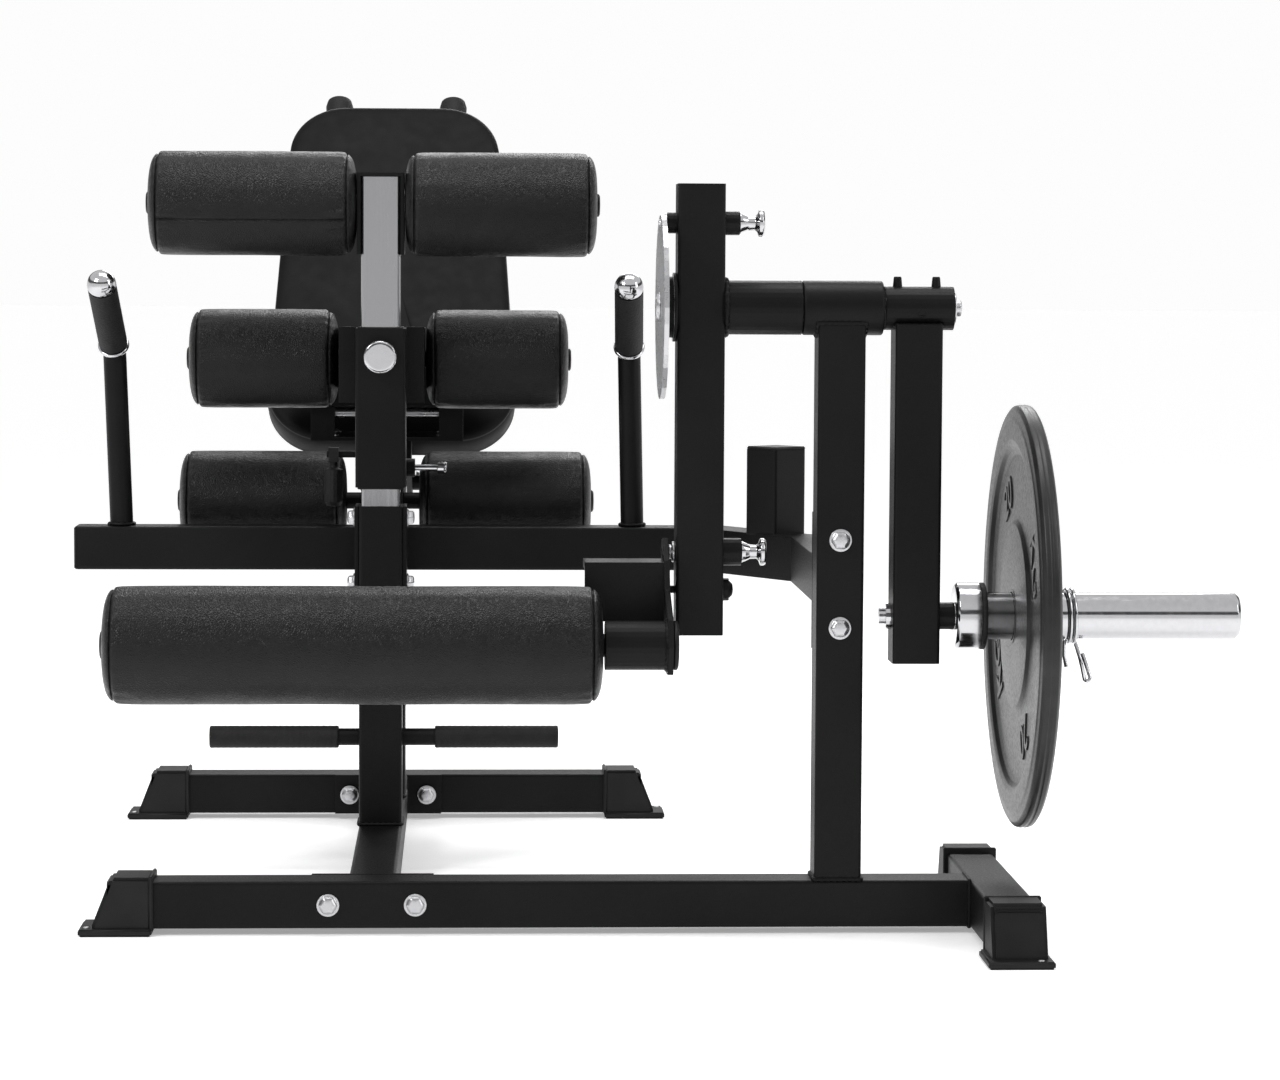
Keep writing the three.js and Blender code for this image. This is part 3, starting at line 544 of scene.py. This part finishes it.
def add_seat():
    lowest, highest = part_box("seat_pad")
    width, length = (highest.x - lowest.x) / MM, (highest.y - lowest.y) / MM
    thick = (highest.z - lowest.z) / MM
    mesh = pad_mesh("seat_cushion", width / 2 - 1, width / 2 - 1, length - 2, 60, thick - 3, 4)
    place = Matrix.Translation(Vector((middle("seat_pad").x, lowest.y + MM, lowest.z)))
    seat = add_piece("seat_cushion", mesh, "seat_assembly", PAD_VINYL, ("seat_pad",), place)
    soften = seat.modifiers.new("soften", "SUBSURF")
    soften.levels = soften.render_levels = 1
    rod_at = Vector((middle("seat_bracket").x, low("seat_bracket").y + 0.012, high("seat_bracket").z - 0.008))
    rod = [[0, -88], [6.5, -88], [6.5, 88], [0, 88]]
    turned_at("seat_cross_rod", rod, "x", rod_at, "seat_assembly", ZINC)
    for x in (-70, 70):
        for y in (-55, 55):
            spot = middle("seat_bracket") + mm(x, y, 0)
            spot.z = low("seat_bracket").z + 0.005
            bolt(f"seat_bolt_{x + 100}_{y + 100}", spot, (0, 0, 1), "seat_assembly", 6, 9, 5)


def back_place(x=0.0, y=0.0, z=0.0):
    hinge = Vector(JOINTS["back_recline"]["pos_m"])
    hinge.x = middle("back_pad").x
    return Matrix.Translation(hinge) @ Matrix.Rotation(INCLINE, 4, "X") @ Matrix.Translation(mm(x, y, z))


def add_backrest():
    mesh = pad_mesh("back_cushion", 165.5, 145.5, 544, 79, 47, 4)
    cushion = add_piece("back_cushion", mesh, "backrest", PAD_VINYL, ("back_pad",), back_place(0, 19, 28.6))
    soften = cushion.modifiers.new("soften", "SUBSURF")
    soften.levels = soften.render_levels = 1
    for side, x in (("left", -80), ("right", 80)):
        ribs = [[11, 480]]
        ribs += [[18, 480], [19, 484], [18, 488]]
        for k in range(9):
            ribs += [[18, 494 + k * 11], [17.2, 497 + k * 11], [17.2, 499 + k * 11], [18, 502 + k * 11]]
        ribs += [[18.4, 606], [19, 616], [17, 624], [12, 627], [0.01, 628], [0.01, 622], [11, 621]]
        profile = turned_mesh(f"back_grip_{side}", ribs, 56)
        place = back_place(x, 0, -6) @ AXES["y"]
        add_piece(f"back_grip_cover_{side}", profile, "backrest", GRIP, (f"back_grip_{side}",), place)
    for y in (110, 250, 390):
        for x in (-45, 45):
            spot = back_place(x, y, 22.6)
            behind = spot.to_3x3() @ Vector((0, 0, -1))
            bolt(f"back_bolt_{y}_{x + 100}", spot.translation, behind, "backrest", 6, 9, 5)
    for side, sign in (("left", -1), ("right", 1)):
        spot = back_place(sign * 36, 0, 0).translation
        turned_along(f"back_pivot_nut_{side}", [[0, -3], [13, -3], [13, 1], [9, 2], [9, 8], [0, 9]],
                     (sign, 0, 0), spot, "backrest", ZINC)


# ---- feet ----
# The moulded end foot: its side outline drawn across the tube, with rounded edges.
def foot_mesh(name):
    side = [(0, -47), (62, -47), (62, -4), (8, 17), (0, 17)]
    builder = bmesh.new()
    left = [builder.verts.new(mm(x, -28.5, z)) for z, x in side]
    right = [builder.verts.new(mm(x, 28.5, z)) for z, x in side]
    builder.faces.new(left)
    builder.faces.new(right[::-1])
    for i in range(len(side)):
        j = (i + 1) % len(side)
        builder.faces.new((left[j], left[i], right[i], right[j]))
    bmesh.ops.recalc_face_normals(builder, faces=builder.faces)
    bmesh.ops.bevel(builder, geom=builder.edges[:], offset=0.0035, segments=4, affect="EDGES")
    mesh = bpy.data.meshes.new(name)
    builder.to_mesh(mesh)
    builder.free()
    mesh.polygons.foreach_set("use_smooth", [True] * len(mesh.polygons))
    mesh.set_sharp_from_angle(angle=math.radians(45))
    return mesh


def add_foot(node, tube, turn_degrees):
    centre = middle(tube)
    lowest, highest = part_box(tube)
    turn = math.radians(turn_degrees)
    way = Vector((round(math.cos(turn)), round(math.sin(turn)), 0))
    reach = (highest - lowest) / 2
    tip = centre + Vector((way.x * reach.x, way.y * reach.y, 0))
    if node == "front_foot":
        tip = Vector((lowest.x, centre.y, 0))
    tip.z = 0
    place = Matrix.Translation(tip) @ Matrix.Rotation(turn, 4, "Z")
    add_piece(f"{node}_shell", foot_mesh(node), "frame", PLASTIC, (node,), place)
    beveled_box(f"{node}_sole", mm(-47, -34, 0), mm(30, 34, 8), "frame", PLASTIC, (), 0.002, place)
    beveled_box(f"{node}_lip", mm(-48.5, -29.6, 6), mm(-44, 29.6, 63.2), "frame", PLASTIC, (), 0.0012, place)
    screw = place @ mm(22, 20, 8)
    head = [[0, -2], [3.4, -2], [3.4, 0.6], [2.4, 1.2], [0, 1.0]]
    turned_at(f"{node}_screw", head, "z", screw, "frame", ZINC)


def add_feet():
    add_foot("front_foot", "front_base", 180)
    add_foot("side_foot_front", "side_base", -90)
    add_foot("side_foot_rear", "side_base", 90)
    add_foot("rear_foot_left", "rear_base", 180)
    add_foot("rear_foot_right", "rear_base", 0)


# ---- chrome and steel ----
def add_knob():
    centre = Vector((middle("carriage_knob").x, low("knee_carriage").y, middle("carriage_knob").z))
    head = [[0, -7], [4, -7], [4, 0.4], [10, 0.4], [10, 3], [18, 4], [19, 6], [19, 19.8], [17.8, 21.6],
            [15, 22.2], [6, 22.3], [0, 22.3]]
    turned_along("carriage_knob_head", head, (0, -1, 0), centre, "carriage_knob", CHROME, ("carriage_knob",),
                 72, 0.8)


def add_horn():
    axle = middle("horn_sleeve")
    left = low("horn_sleeve").x
    start = Vector((left, axle.y, axle.z))
    span = (high("horn_sleeve").x - left) / MM
    sleeve = [[12.8, 0], [32.5, 0], [35.5, 3], [35.5, 26.2], [34.6, 27], [25, 27], [25, span - 4], [22, span],
              [12.8, span]]
    turned_at("horn_sleeve_smooth", sleeve, "x", start, "horn", CHROME, ("horn_sleeve",), 96, 0.8)
    ring = [[25.1, 27.1], [34.8, 27.1], [35.6, 28.4], [35.6, 31.6], [34.8, 32.5], [25.1, 32.5]]
    turned_at("collar_rubber_ring", ring, "x", start, "horn", GRIP, (), 96, 0.5)
    plug = [[0, span - 6], [12.6, span - 6], [12.6, span - 1], [10, span - 0.4], [0, span]]
    turned_at("horn_end_plug", plug, "x", start, "horn", ZINC)


# Half of the plate's section from the bore out to the rim, then the same mirrored.
def plate_profile(width):
    face = [(25.9, 3.2), (30, 2), (60, 2.2), (98, 3), (103, 6.6), (108, 7.2), (172, 7.2), (178, 5.4),
            (182, 1.6), (188, 0), (208, 0), (212, 1.1), (219, 1.8), (224, 5), (225, 9.4), (224.4, 10.6)]
    return [[r, x] for r, x in face] + [[r, width - x] for r, x in reversed(face)]


def add_plate():
    lowest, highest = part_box("weight_plate")
    centre = middle("weight_plate")
    start = Vector((lowest.x, centre.y, centre.z))
    width = (highest.x - lowest.x) / MM
    profile = plate_profile(width)
    turned_at("plate_body", profile, "x", start, "plate", RUBBER_COAT, ("weight_plate",), 160, 1.2)
    for side, x in (("inner", 1.2), ("outer", width - 3.4)):
        ring = [[25.95, x], [28.4, x], [28.8, x + 1.1], [28.4, x + 2.2], [25.95, x + 2.2]]
        turned_at(f"plate_hub_ring_{side}", ring, "x", start, "plate", RUBBER_COAT, (), 96, 0.3)
    mark_plate(start, width)


# Raised figures on the face of the plate, lying round it.
MARK_RING = 0.137


def mark_mesh(word):
    text = bpy.data.curves.new("mark", "FONT")
    text.body = word
    text.size = 0.052
    text.extrude = 0.0012
    text.bevel_depth = 0.0005
    text.bevel_resolution = 2
    text.align_x = text.align_y = "CENTER"
    holder = bpy.data.objects.new("mark", text)
    bpy.context.scene.collection.objects.link(holder)
    bpy.context.view_layer.update()
    mesh = bpy.data.meshes.new_from_object(holder.evaluated_get(bpy.context.evaluated_depsgraph_get()))
    bpy.data.objects.remove(holder)
    mesh.materials.clear()
    return mesh


def mark_plate(start, width):
    marks = (("20", 62), ("20", 242), ("KG", 152), ("KG", 332))
    for side, x, facing in (("inner", 7.2, -1), ("outer", width - 7.2, 1)):
        for word, degrees in marks:
            angle = math.radians(degrees)
            out = Vector((0, math.cos(angle), math.sin(angle)))
            normal = Vector((facing, 0, 0))
            turn = Matrix((out.cross(normal), out, normal)).transposed().to_4x4()
            spot = start + mm(x, 0, 0) + out * MARK_RING
            add_piece(f"plate_mark_{side}_{degrees}", mark_mesh(word), "plate", RUBBER_COAT, (),
                      Matrix.Translation(spot) @ turn)


CLIP_WIRE = 0.0021
COIL_R = 0.0283
COIL_TURNS = 2.2


# A coil on the sleeve, then the squeeze handle that hangs from it as a narrow loop.
def add_spring_clip():
    lowest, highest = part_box("spring_clip")
    axle = middle("horn_sleeve")
    centre = Vector((lowest.x + 0.006, axle.y, axle.z))
    coil = []
    for k in range(81):
        turn = 2 * math.pi * COIL_TURNS * k / 80 - math.radians(108)
        x = -0.005 + 0.0115 * k / 80
        coil.append(centre + Vector((x, COIL_R * math.cos(turn), COIL_R * math.sin(turn))))
    first, last = coil[0], coil[-1]
    loop_end = Vector((highest.x - 0.004, axle.y, lowest.z + 0.005))
    handle = [last + (loop_end - last) * t + Vector((0, -0.012 * math.sin(math.pi * t), 0))
              for t in (0.15, 0.35, 0.55, 0.75, 0.92, 1.0)]
    along = (last - loop_end).normalized()
    across = Vector((0.0062, 0, 0.002))
    turn_back = [loop_end + across * t - along * 0.0028 * math.sin(math.pi * t)
                 for t in (0.2, 0.4, 0.6, 0.8, 1)]
    back = [loop_end + across * (1 - 6 * t) + along * t for t in (0.006, 0.012, 0.02, 0.028)]
    wire("spring_clip_wire", coil + handle + turn_back + back, CLIP_WIRE, "clip", CHROME, ("spring_clip",))
    tail = [first, first + Vector((-0.001, -0.006, -0.014)), first + Vector((0.001, -0.009, -0.026))]
    wire("spring_clip_tail", tail, CLIP_WIRE, "clip", CHROME)


def add_shaft_details():
    axis = middle("main_shaft")
    body = "weight_assembly"
    left = Vector((low("index_disc").x, axis.y, axis.z))
    cover = [[31.6, 5.4], [32.1, 5.4], [32.1, 13.6], [36.3, 13.6], [36.3, 17.2], [31.6, 17.2]]
    turned_at("disc_hub_cover", cover, "x", left, body, PAINT, (), 72, 0.15)
    washer = [[0, 0], [15, 0], [15.6, 0.8], [15, 1.6], [13, 4.4], [0, 5]]
    turned_along("shaft_left_washer", washer, (-1, 0, 0), left, body, ZINC)
    hub_left = low("weight_arm").x
    set_screw = [[0, -2], [5.2, -2], [4.2, 9], [3.6, 10.4], [2, 10.4], [1.8, 8.6], [0, 8.6]]
    for index, x in enumerate((0.014, 0.055)):
        spot = Vector((hub_left + x, axis.y, axis.z + 0.023))
        turned_at(f"hub_set_screw_{index}", set_screw, "z", spot, body, PAINT, (), 32, 0.4)
    front = Vector((hub_left + 0.038, axis.y - 0.0222, axis.z - 0.0045))
    socket = [[0, -2], [5, -2], [5, 0.6], [3.2, 0.7], [3, -0.6], [0, -0.6]]
    turned_along("hub_front_screw", socket, (0, -1, 0), front, body, PAINT)
    joint = Vector((hub_left + 0.035, axis.y, axis.z - 0.0176))
    weld("weld_weight_hub", square_run(joint, 0.0246, 0.0166, "xy"), body, 2.6, True)
    end_washer = [[0, 0.2], [17, 0.2], [17, 2.4], [9, 2.6], [9, 8], [7, 9], [0, 9.2]]
    turned_along("shaft_end_washer", end_washer, (1, 0, 0),
                 Vector((high("main_shaft").x, axis.y, axis.z)), body, ZINC)


def add_housing():
    lowest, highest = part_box("bearing_housing")
    centre = middle("bearing_housing")
    start = Vector((lowest.x, centre.y, centre.z))
    span = (highest.x - lowest.x) / MM
    shell = [[20.2, 0], [27.4, 0], [28.75, 1.4], [28.75, span - 1.4], [27.4, span], [20.2, span]]
    turned_at("bearing_housing_smooth", shell, "x", start, "frame", PAINT, ("bearing_housing",), 96, 0.4)
    across = (-0.024, -0.012, 0, 0.012, 0.024)
    saddle = [Vector((middle("upright").x + x, centre.y + y, centre.z - math.sqrt(0.02885 ** 2 - y * y)))
              for x, run in ((-0.0252, across), (0.0252, across[::-1])) for y in run]
    weld("weld_housing", saddle, "frame", 3.0, True)
    spacer_start = Vector((high("swing_arm").x - 0.082 + 0.0018, centre.y, centre.z))
    weld("weld_spacer", circle_run(spacer_start, 0.0284, "x"), "swing_assembly", 3.4, True)


def add_pull_pin(name):
    lowest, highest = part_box(name)
    centre = middle(name)
    face = (highest.x - lowest.x) / MM - 26
    knob = [[0, 0], [2.6, 0], [4, 2.5], [4, face], [11.5, face], [10, face + 4], [7.6, face + 9],
            [7.2, face + 16], [9.5, face + 18.4], [14.5, face + 20.2], [14.5, face + 24], [12.5, face + 26],
            [0, face + 26]]
    start = Vector((lowest.x, centre.y, centre.z))
    turned_at(f"{name}_turned", knob, "x", start, name, CHROME, (name,), 72, 0.8)


def add_bush(name, inset, profile):
    centre = middle(name)
    left = Vector((low("swing_arm").x + inset, centre.y, centre.z))
    turned_along(f"{name}_bush", profile, (-1, 0, 0), left, "swing_assembly", ZINC)


def add_pins():
    add_pull_pin("arm_pin")
    add_pull_pin("bracket_pin")
    add_bush("arm_pin", 0, [[4.9, 0.1], [9.6, 0.1], [9.6, 3], [4.9, 3]])
    add_bush("bracket_pin", 0.010, [[4.9, 0.1], [11, 0.1], [11, 3.5], [7.5, 3.8], [7.5, 6.8], [4.9, 6.8]])
    tilt_axis = Vector(JOINTS["bracket_tilt"]["pos_m"])
    spot = Vector((low("swing_arm").x + 0.060, tilt_axis.y, tilt_axis.z))
    bolt_cap = [[0, 6.5], [9, 6.5], [9, 8], [6, 11], [0, 12]]
    turned_along("bracket_bolt_cap", bolt_cap, (1, 0, 0), spot, "leg_bracket", PAINT)
    nut_at = Vector((high("leg_roller").x + 0.0585, tilt_axis.y, tilt_axis.z))
    bolt("bracket_bolt_nut", nut_at, (-1, 0, 0), "leg_bracket", 8.5, 11, 8)
    for name, r in (("rail_pin", 7), ("back_pin", 12)):
        end = middle(name)
        end.x = high(name).x
        tip = [[0, -1], [r - 1, -1], [r, 0.4], [r - 0.4, 2.4], [r * 0.6, 3.6], [0, 4]]
        turned_along(f"{name}_tip", tip, (1, 0, 0), end, name, CHROME)


def add_leg_bracket():
    stub_left = high("leg_roller").x + 0.002
    axis = middle("leg_roller")
    start = Vector((stub_left, axis.y, axis.z))
    weld("weld_stub", circle_run(start + mm(63.4, 0, 0), 0.0252, "x"), "leg_bracket", 2.2, True)
    turned_along("stub_end_cap", [[0, 0], [24, 0], [25.6, 1.2], [25.6, 4], [23, 5.5], [0, 6]], (1, 0, 0),
                 start + mm(70.2, 0, 0), "leg_bracket", PLASTIC)
    turned_along("leg_axle_cap", [[0, -2.6], [15, -2.6], [15.4, -1.4], [13, 0.3], [0, 0.8]], (-1, 0, 0),
                 Vector((low("leg_roller").x - 3 * MM, axis.y, axis.z)), "leg_bracket", PLASTIC)


# ---- handles and grips ----
HANDLE_R = 0.0135


# The foot of a handle, its bend, and the way that its upper leg points.
def handle_route(side):
    lowest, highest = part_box(f"handle_{side}")
    cap = middle(f"handle_cap_{side}")
    grip = middle(f"handle_grip_{side}")
    way = (cap - grip).normalized()
    base = Vector((highest.x - HANDLE_R, highest.y - HANDLE_R, lowest.z + 0.0006))
    back = (base.y - cap.y) / -way.y
    corner = cap - way * back
    corner.y = base.y
    return base, corner, way


def add_handles():
    for side in ("left", "right"):
        base, corner, way = handle_route(side)
        up = (corner - base).normalized()
        points = [base + (corner - base) * t for t in (0, 0.25, 0.5, 0.75, 0.93)]
        start, end = corner - up * 0.012, corner + way * 0.012
        points += [(1 - t) ** 2 * start + 2 * t * (1 - t) * corner + t * t * end
                   for t in (0, 0.2, 0.4, 0.6, 0.8, 1)]
        points += [corner + way * 0.05, corner + way * 0.112]
        wire(f"handle_tube_{side}", points, HANDLE_R, "frame", PAINT, (f"handle_{side}",))
        weld(f"weld_handle_{side}", circle_run(base + mm(0, 0, 0.6), 0.0143, "z"), "frame", 2.4, True)
        ring = [[13.8, -2.6], [17.6, -2.6], [18.6, 0], [17.6, 2.6], [13.8, 2.6]]
        turned_along(f"handle_ring_{side}", ring, way, corner + way * 0.010, "frame", CHROME)
        length = 102.0
        ribs = [[14, 0], [16.6, 0]]
        for k in range(24):
            ribs += [[16.7, 4 + k * 4], [16.2, 6 + k * 4]]
        ribs += [[16.6, length], [14, length]]
        mesh = turned_mesh(f"grip_{side}", ribs, 64)
        turn = way.to_track_quat("Z", "Y").to_matrix().to_4x4()
        add_piece(f"handle_grip_cover_{side}", mesh, "frame", GRIP, (f"handle_grip_{side}",),
                  Matrix.Translation(corner + way * 0.0145) @ turn)
        ball = [[0, 0.2], [16.4, 0.2], [16.9, 3], [16.4, 8], [14.2, 13], [10, 17], [5, 19.2], [0, 19.9]]
        turned_along(f"handle_ball_{side}", ball, way, corner + way * 0.118, "frame", CHROME,
                     (f"handle_cap_{side}",), 72, 2.2)


def add_foot_grips():
    for side, outer in (("left", -1), ("right", 1)):
        lowest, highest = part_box(f"foot_grip_{side}")
        span = (highest.x - lowest.x) / MM
        profile = [[10.7, 0], [12, 0], [13, 1.5]]
        profile += [[13 - 0.16 * (k % 2), 3 + k * (span - 6) / 40] for k in range(41)]
        profile += [[13, span - 1.5], [11.8, span], [10.7, span]]
        start = middle(f"foot_grip_{side}")
        start.x = lowest.x
        turned_at(f"foot_grip_cover_{side}", profile, "x", start, "frame", GRIP, (f"foot_grip_{side}",), 56,
                  0.3)
        end = start.copy()
        end.x = lowest.x if outer < 0 else highest.x
        turned_along(f"foot_grip_plug_{side}", [[0, -2], [10.6, -2], [10.6, -0.6], [9.6, 0.2], [0, 0.4]],
                     (outer, 0, 0), end, "frame", GRIP)


# ---- fasteners, plugs and welds on the frame ----
TUBE_HALF = 0.0252
ELBOW_BOLTS = (0.419, 0.326)
COLUMN_BOLTS = (0.415, 0.339)
REAR_JOINT = 0.7935


def add_frame_bolts():
    column = middle("mast")
    front = low("front_base")
    mid_z = middle("front_base").z
    forward = (0, -1, 0)
    for index, x in enumerate((-0.046, 0.046)):
        bolt(f"front_base_bolt_{index}", Vector((column.x + x, front.y, mid_z)), forward, "frame")
        rear_at = Vector((column.x + x * 1.07, low("lower_beam").y + REAR_JOINT, mid_z))
        bolt(f"rear_base_bolt_{index}", rear_at, forward, "frame")
    upright = middle("upright")
    for index, z in enumerate(ELBOW_BOLTS):
        bolt(f"upright_bolt_{index}", Vector((upright.x, low("upright").y, z)), forward, "frame")
        behind = Vector((upright.x, high("upright").y + 0.0068, z))
        bolt(f"elbow_bolt_{index}", behind, (0, 1, 0), "frame")
    for row, z in enumerate(COLUMN_BOLTS):
        for index, x in enumerate((-0.0302, 0.0302)):
            spot = Vector((column.x + x, column.y, z))
            bolt(f"column_bolt_{row}_{index}", spot, (x, 0, 0), "frame", 8.5, 10.5, 9)


def add_frame_welds():
    column = middle("mast")
    upright = middle("upright")
    feet = (("column_foot", column.x, column.y, low("column").z),
            ("upright_foot", upright.x, upright.y, low("upright").z),
            ("post_foot", column.x, middle("rear_post").y, low("rear_post").z))
    for name, x, y, z in feet:
        run = square_run(Vector((x, y, z + 0.001)), TUBE_HALF, TUBE_HALF, "xy")
        weld(f"weld_{name}", run, "frame", 2.4, True)
    side_at = Vector((low("side_base").x - 0.0004, middle("front_base").y, middle("front_base").z))
    weld("weld_side_base", square_run(side_at, TUBE_HALF, 0.0248, "yz"), "frame", 2.2, True)


def add_frame_details():
    add_frame_bolts()
    add_frame_welds()
    column = middle("mast")
    plug_at = Vector((low("cross_tube").x, high("cross_tube").y - 0.02525, 0.37575))
    beveled_box("cross_tube_plug", plug_at + mm(-3.2, -25, -25), plug_at + mm(1, 25, 25), "frame", PLASTIC, (),
                0.0014)
    post_top()
    sleeve_low, sleeve_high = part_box("knee_carriage")
    for end, z in (("top", sleeve_high.z - 0.0016), ("bottom", sleeve_low.z - 0.0004)):
        ring = square_run(Vector((column.x, column.y, z)), TUBE_HALF, TUBE_HALF, "xy")
        wire(f"sleeve_liner_{end}", ring, 0.0019, "knee_carriage", PLASTIC, (), True)
    washer = [[10.3, 0], [16, 0], [16, 0.5], [10.3, 0.5]]
    for side, sign in (("left", -1), ("right", 1)):
        spot = middle("thigh_roller_left")
        spot.x = column.x + sign * 0.0273
        turned_along(f"thigh_washer_{side}", washer, (sign, 0, 0), spot, "frame", ZINC, (), 48, 0.2)


def post_top():
    top = high("cross_elbow").z
    ring = [vertex.co for vertex in frame["nodes"]["cross_elbow"].data.vertices if vertex.co.z > top - 0.0005]
    centre = sum(ring, Vector()) / len(ring)
    place = Matrix.Translation(centre) @ Matrix.Rotation(math.radians(39), 4, "Z")
    beveled_box("post_cap", mm(-24.4, -24.4, -1), mm(24.4, 24.4, 3), "frame", PLASTIC, (), 0.0014, place)


def add_covers():
    finish_cad_nodes()
    add_rollers()
    add_seat()
    add_backrest()
    add_feet()
    add_knob()
    add_horn()
    add_plate()
    add_spring_clip()
    add_shaft_details()
    add_housing()
    add_pins()
    add_leg_bracket()
    add_handles()
    add_foot_grips()
    add_frame_details()


# ---- studio ----
LENS = 104.5
CAMERA_FROM = Vector((0.098, -3.895, 0.691))
TILT, YAW, ROLL = math.radians(3.99), math.radians(2.7), math.radians(0.3)


def add_camera():
    data = bpy.data.cameras.new("camera")
    data.lens = LENS
    data.sensor_width = 36
    data.clip_end = 100
    camera = bpy.data.objects.new("camera", data)
    bpy.context.scene.collection.objects.link(camera)
    place = Vector((middle("mast").x, low("front_base").y, 0)) + CAMERA_FROM
    turn = Matrix.Rotation(-YAW, 4, "Z") @ Matrix.Rotation(math.pi / 2 - TILT, 4, "X")
    turn = turn @ Matrix.Rotation(ROLL, 4, "Z")
    camera.matrix_world = Matrix.Translation(place) @ turn
    bpy.context.scene.camera = camera


def add_area_light(name, origin, target, size, power):
    data = bpy.data.lights.new(name, "AREA")
    data.shape = "RECTANGLE"
    data.size, data.size_y = size
    data.energy = power
    light = bpy.data.objects.new(name, data)
    bpy.context.scene.collection.objects.link(light)
    way = Vector(target) - Vector(origin)
    light.matrix_world = Matrix.Translation(origin) @ way.to_track_quat("-Z", "Y").to_matrix().to_4x4()


# White all round, with one dark band above the horizon for the chrome to mirror.
def add_world():
    world = bpy.data.worlds.new("studio")
    world.use_nodes = True
    tree = world.node_tree
    place = tree.nodes.new("ShaderNodeTexCoord")
    split = tree.nodes.new("ShaderNodeSeparateXYZ")
    bands = tree.nodes.new("ShaderNodeValToRGB")
    tree.links.new(place.outputs["Generated"], split.inputs["Vector"])
    tree.links.new(split.outputs["Z"], bands.inputs["Fac"])
    for position, level in ((0.15, 1.0), (0.2, 0.1), (0.4, 0.1), (0.46, 0.9)):
        stop = bands.color_ramp.elements.new(position)
        stop.color = (level, level, level, 1)
    bands.color_ramp.elements[0].color = (1, 1, 1, 1)
    bands.color_ramp.elements[-1].color = (0.8, 0.8, 0.8, 1)
    tree.links.new(bands.outputs["Color"], tree.nodes["Background"].inputs["Color"])
    tree.nodes["Background"].inputs["Strength"].default_value = 0.98
    bpy.context.scene.world = world


def add_studio():
    mesh = bpy.data.meshes.new("floor")
    mesh.from_pydata([(-90, -90, 0), (90, -90, 0), (90, 90, 0), (-90, 90, 0)], [], [(0, 1, 2, 3)])
    floor = bpy.data.objects.new("floor", mesh)
    bpy.context.scene.collection.objects.link(floor)
    paper, _, shader = new_material("floor_paper", (0.95, 0.95, 0.95), 0.95)
    shader.inputs["Emission Color"].default_value = (1, 1, 1, 1)
    shader.inputs["Emission Strength"].default_value = 0.31
    shader.inputs["Specular IOR Level"].default_value = 0.1
    mesh.materials.append(paper)
    add_world()
    add_area_light("key_left", (-2.4, -2.2, 2.6), (0, 0, 0.5), (1.0, 1.0), 42)
    add_area_light("fill_right", (2.8, -1.8, 2.0), (0, 0, 0.5), (0.7, 2.0), 24)
    add_area_light("rim_back", (0.4, 3.2, 2.4), (0, 0, 0.6), (2.4, 1.0), 40)
    add_area_light("top_soft", (0, -0.2, 3.0), (0, 0, 0.3), (2.2, 1.0), 36)
    bpy.context.scene.view_settings.view_transform = "Standard"


add_camera()
add_studio()
add_covers()
bpy.context.view_layer.update()
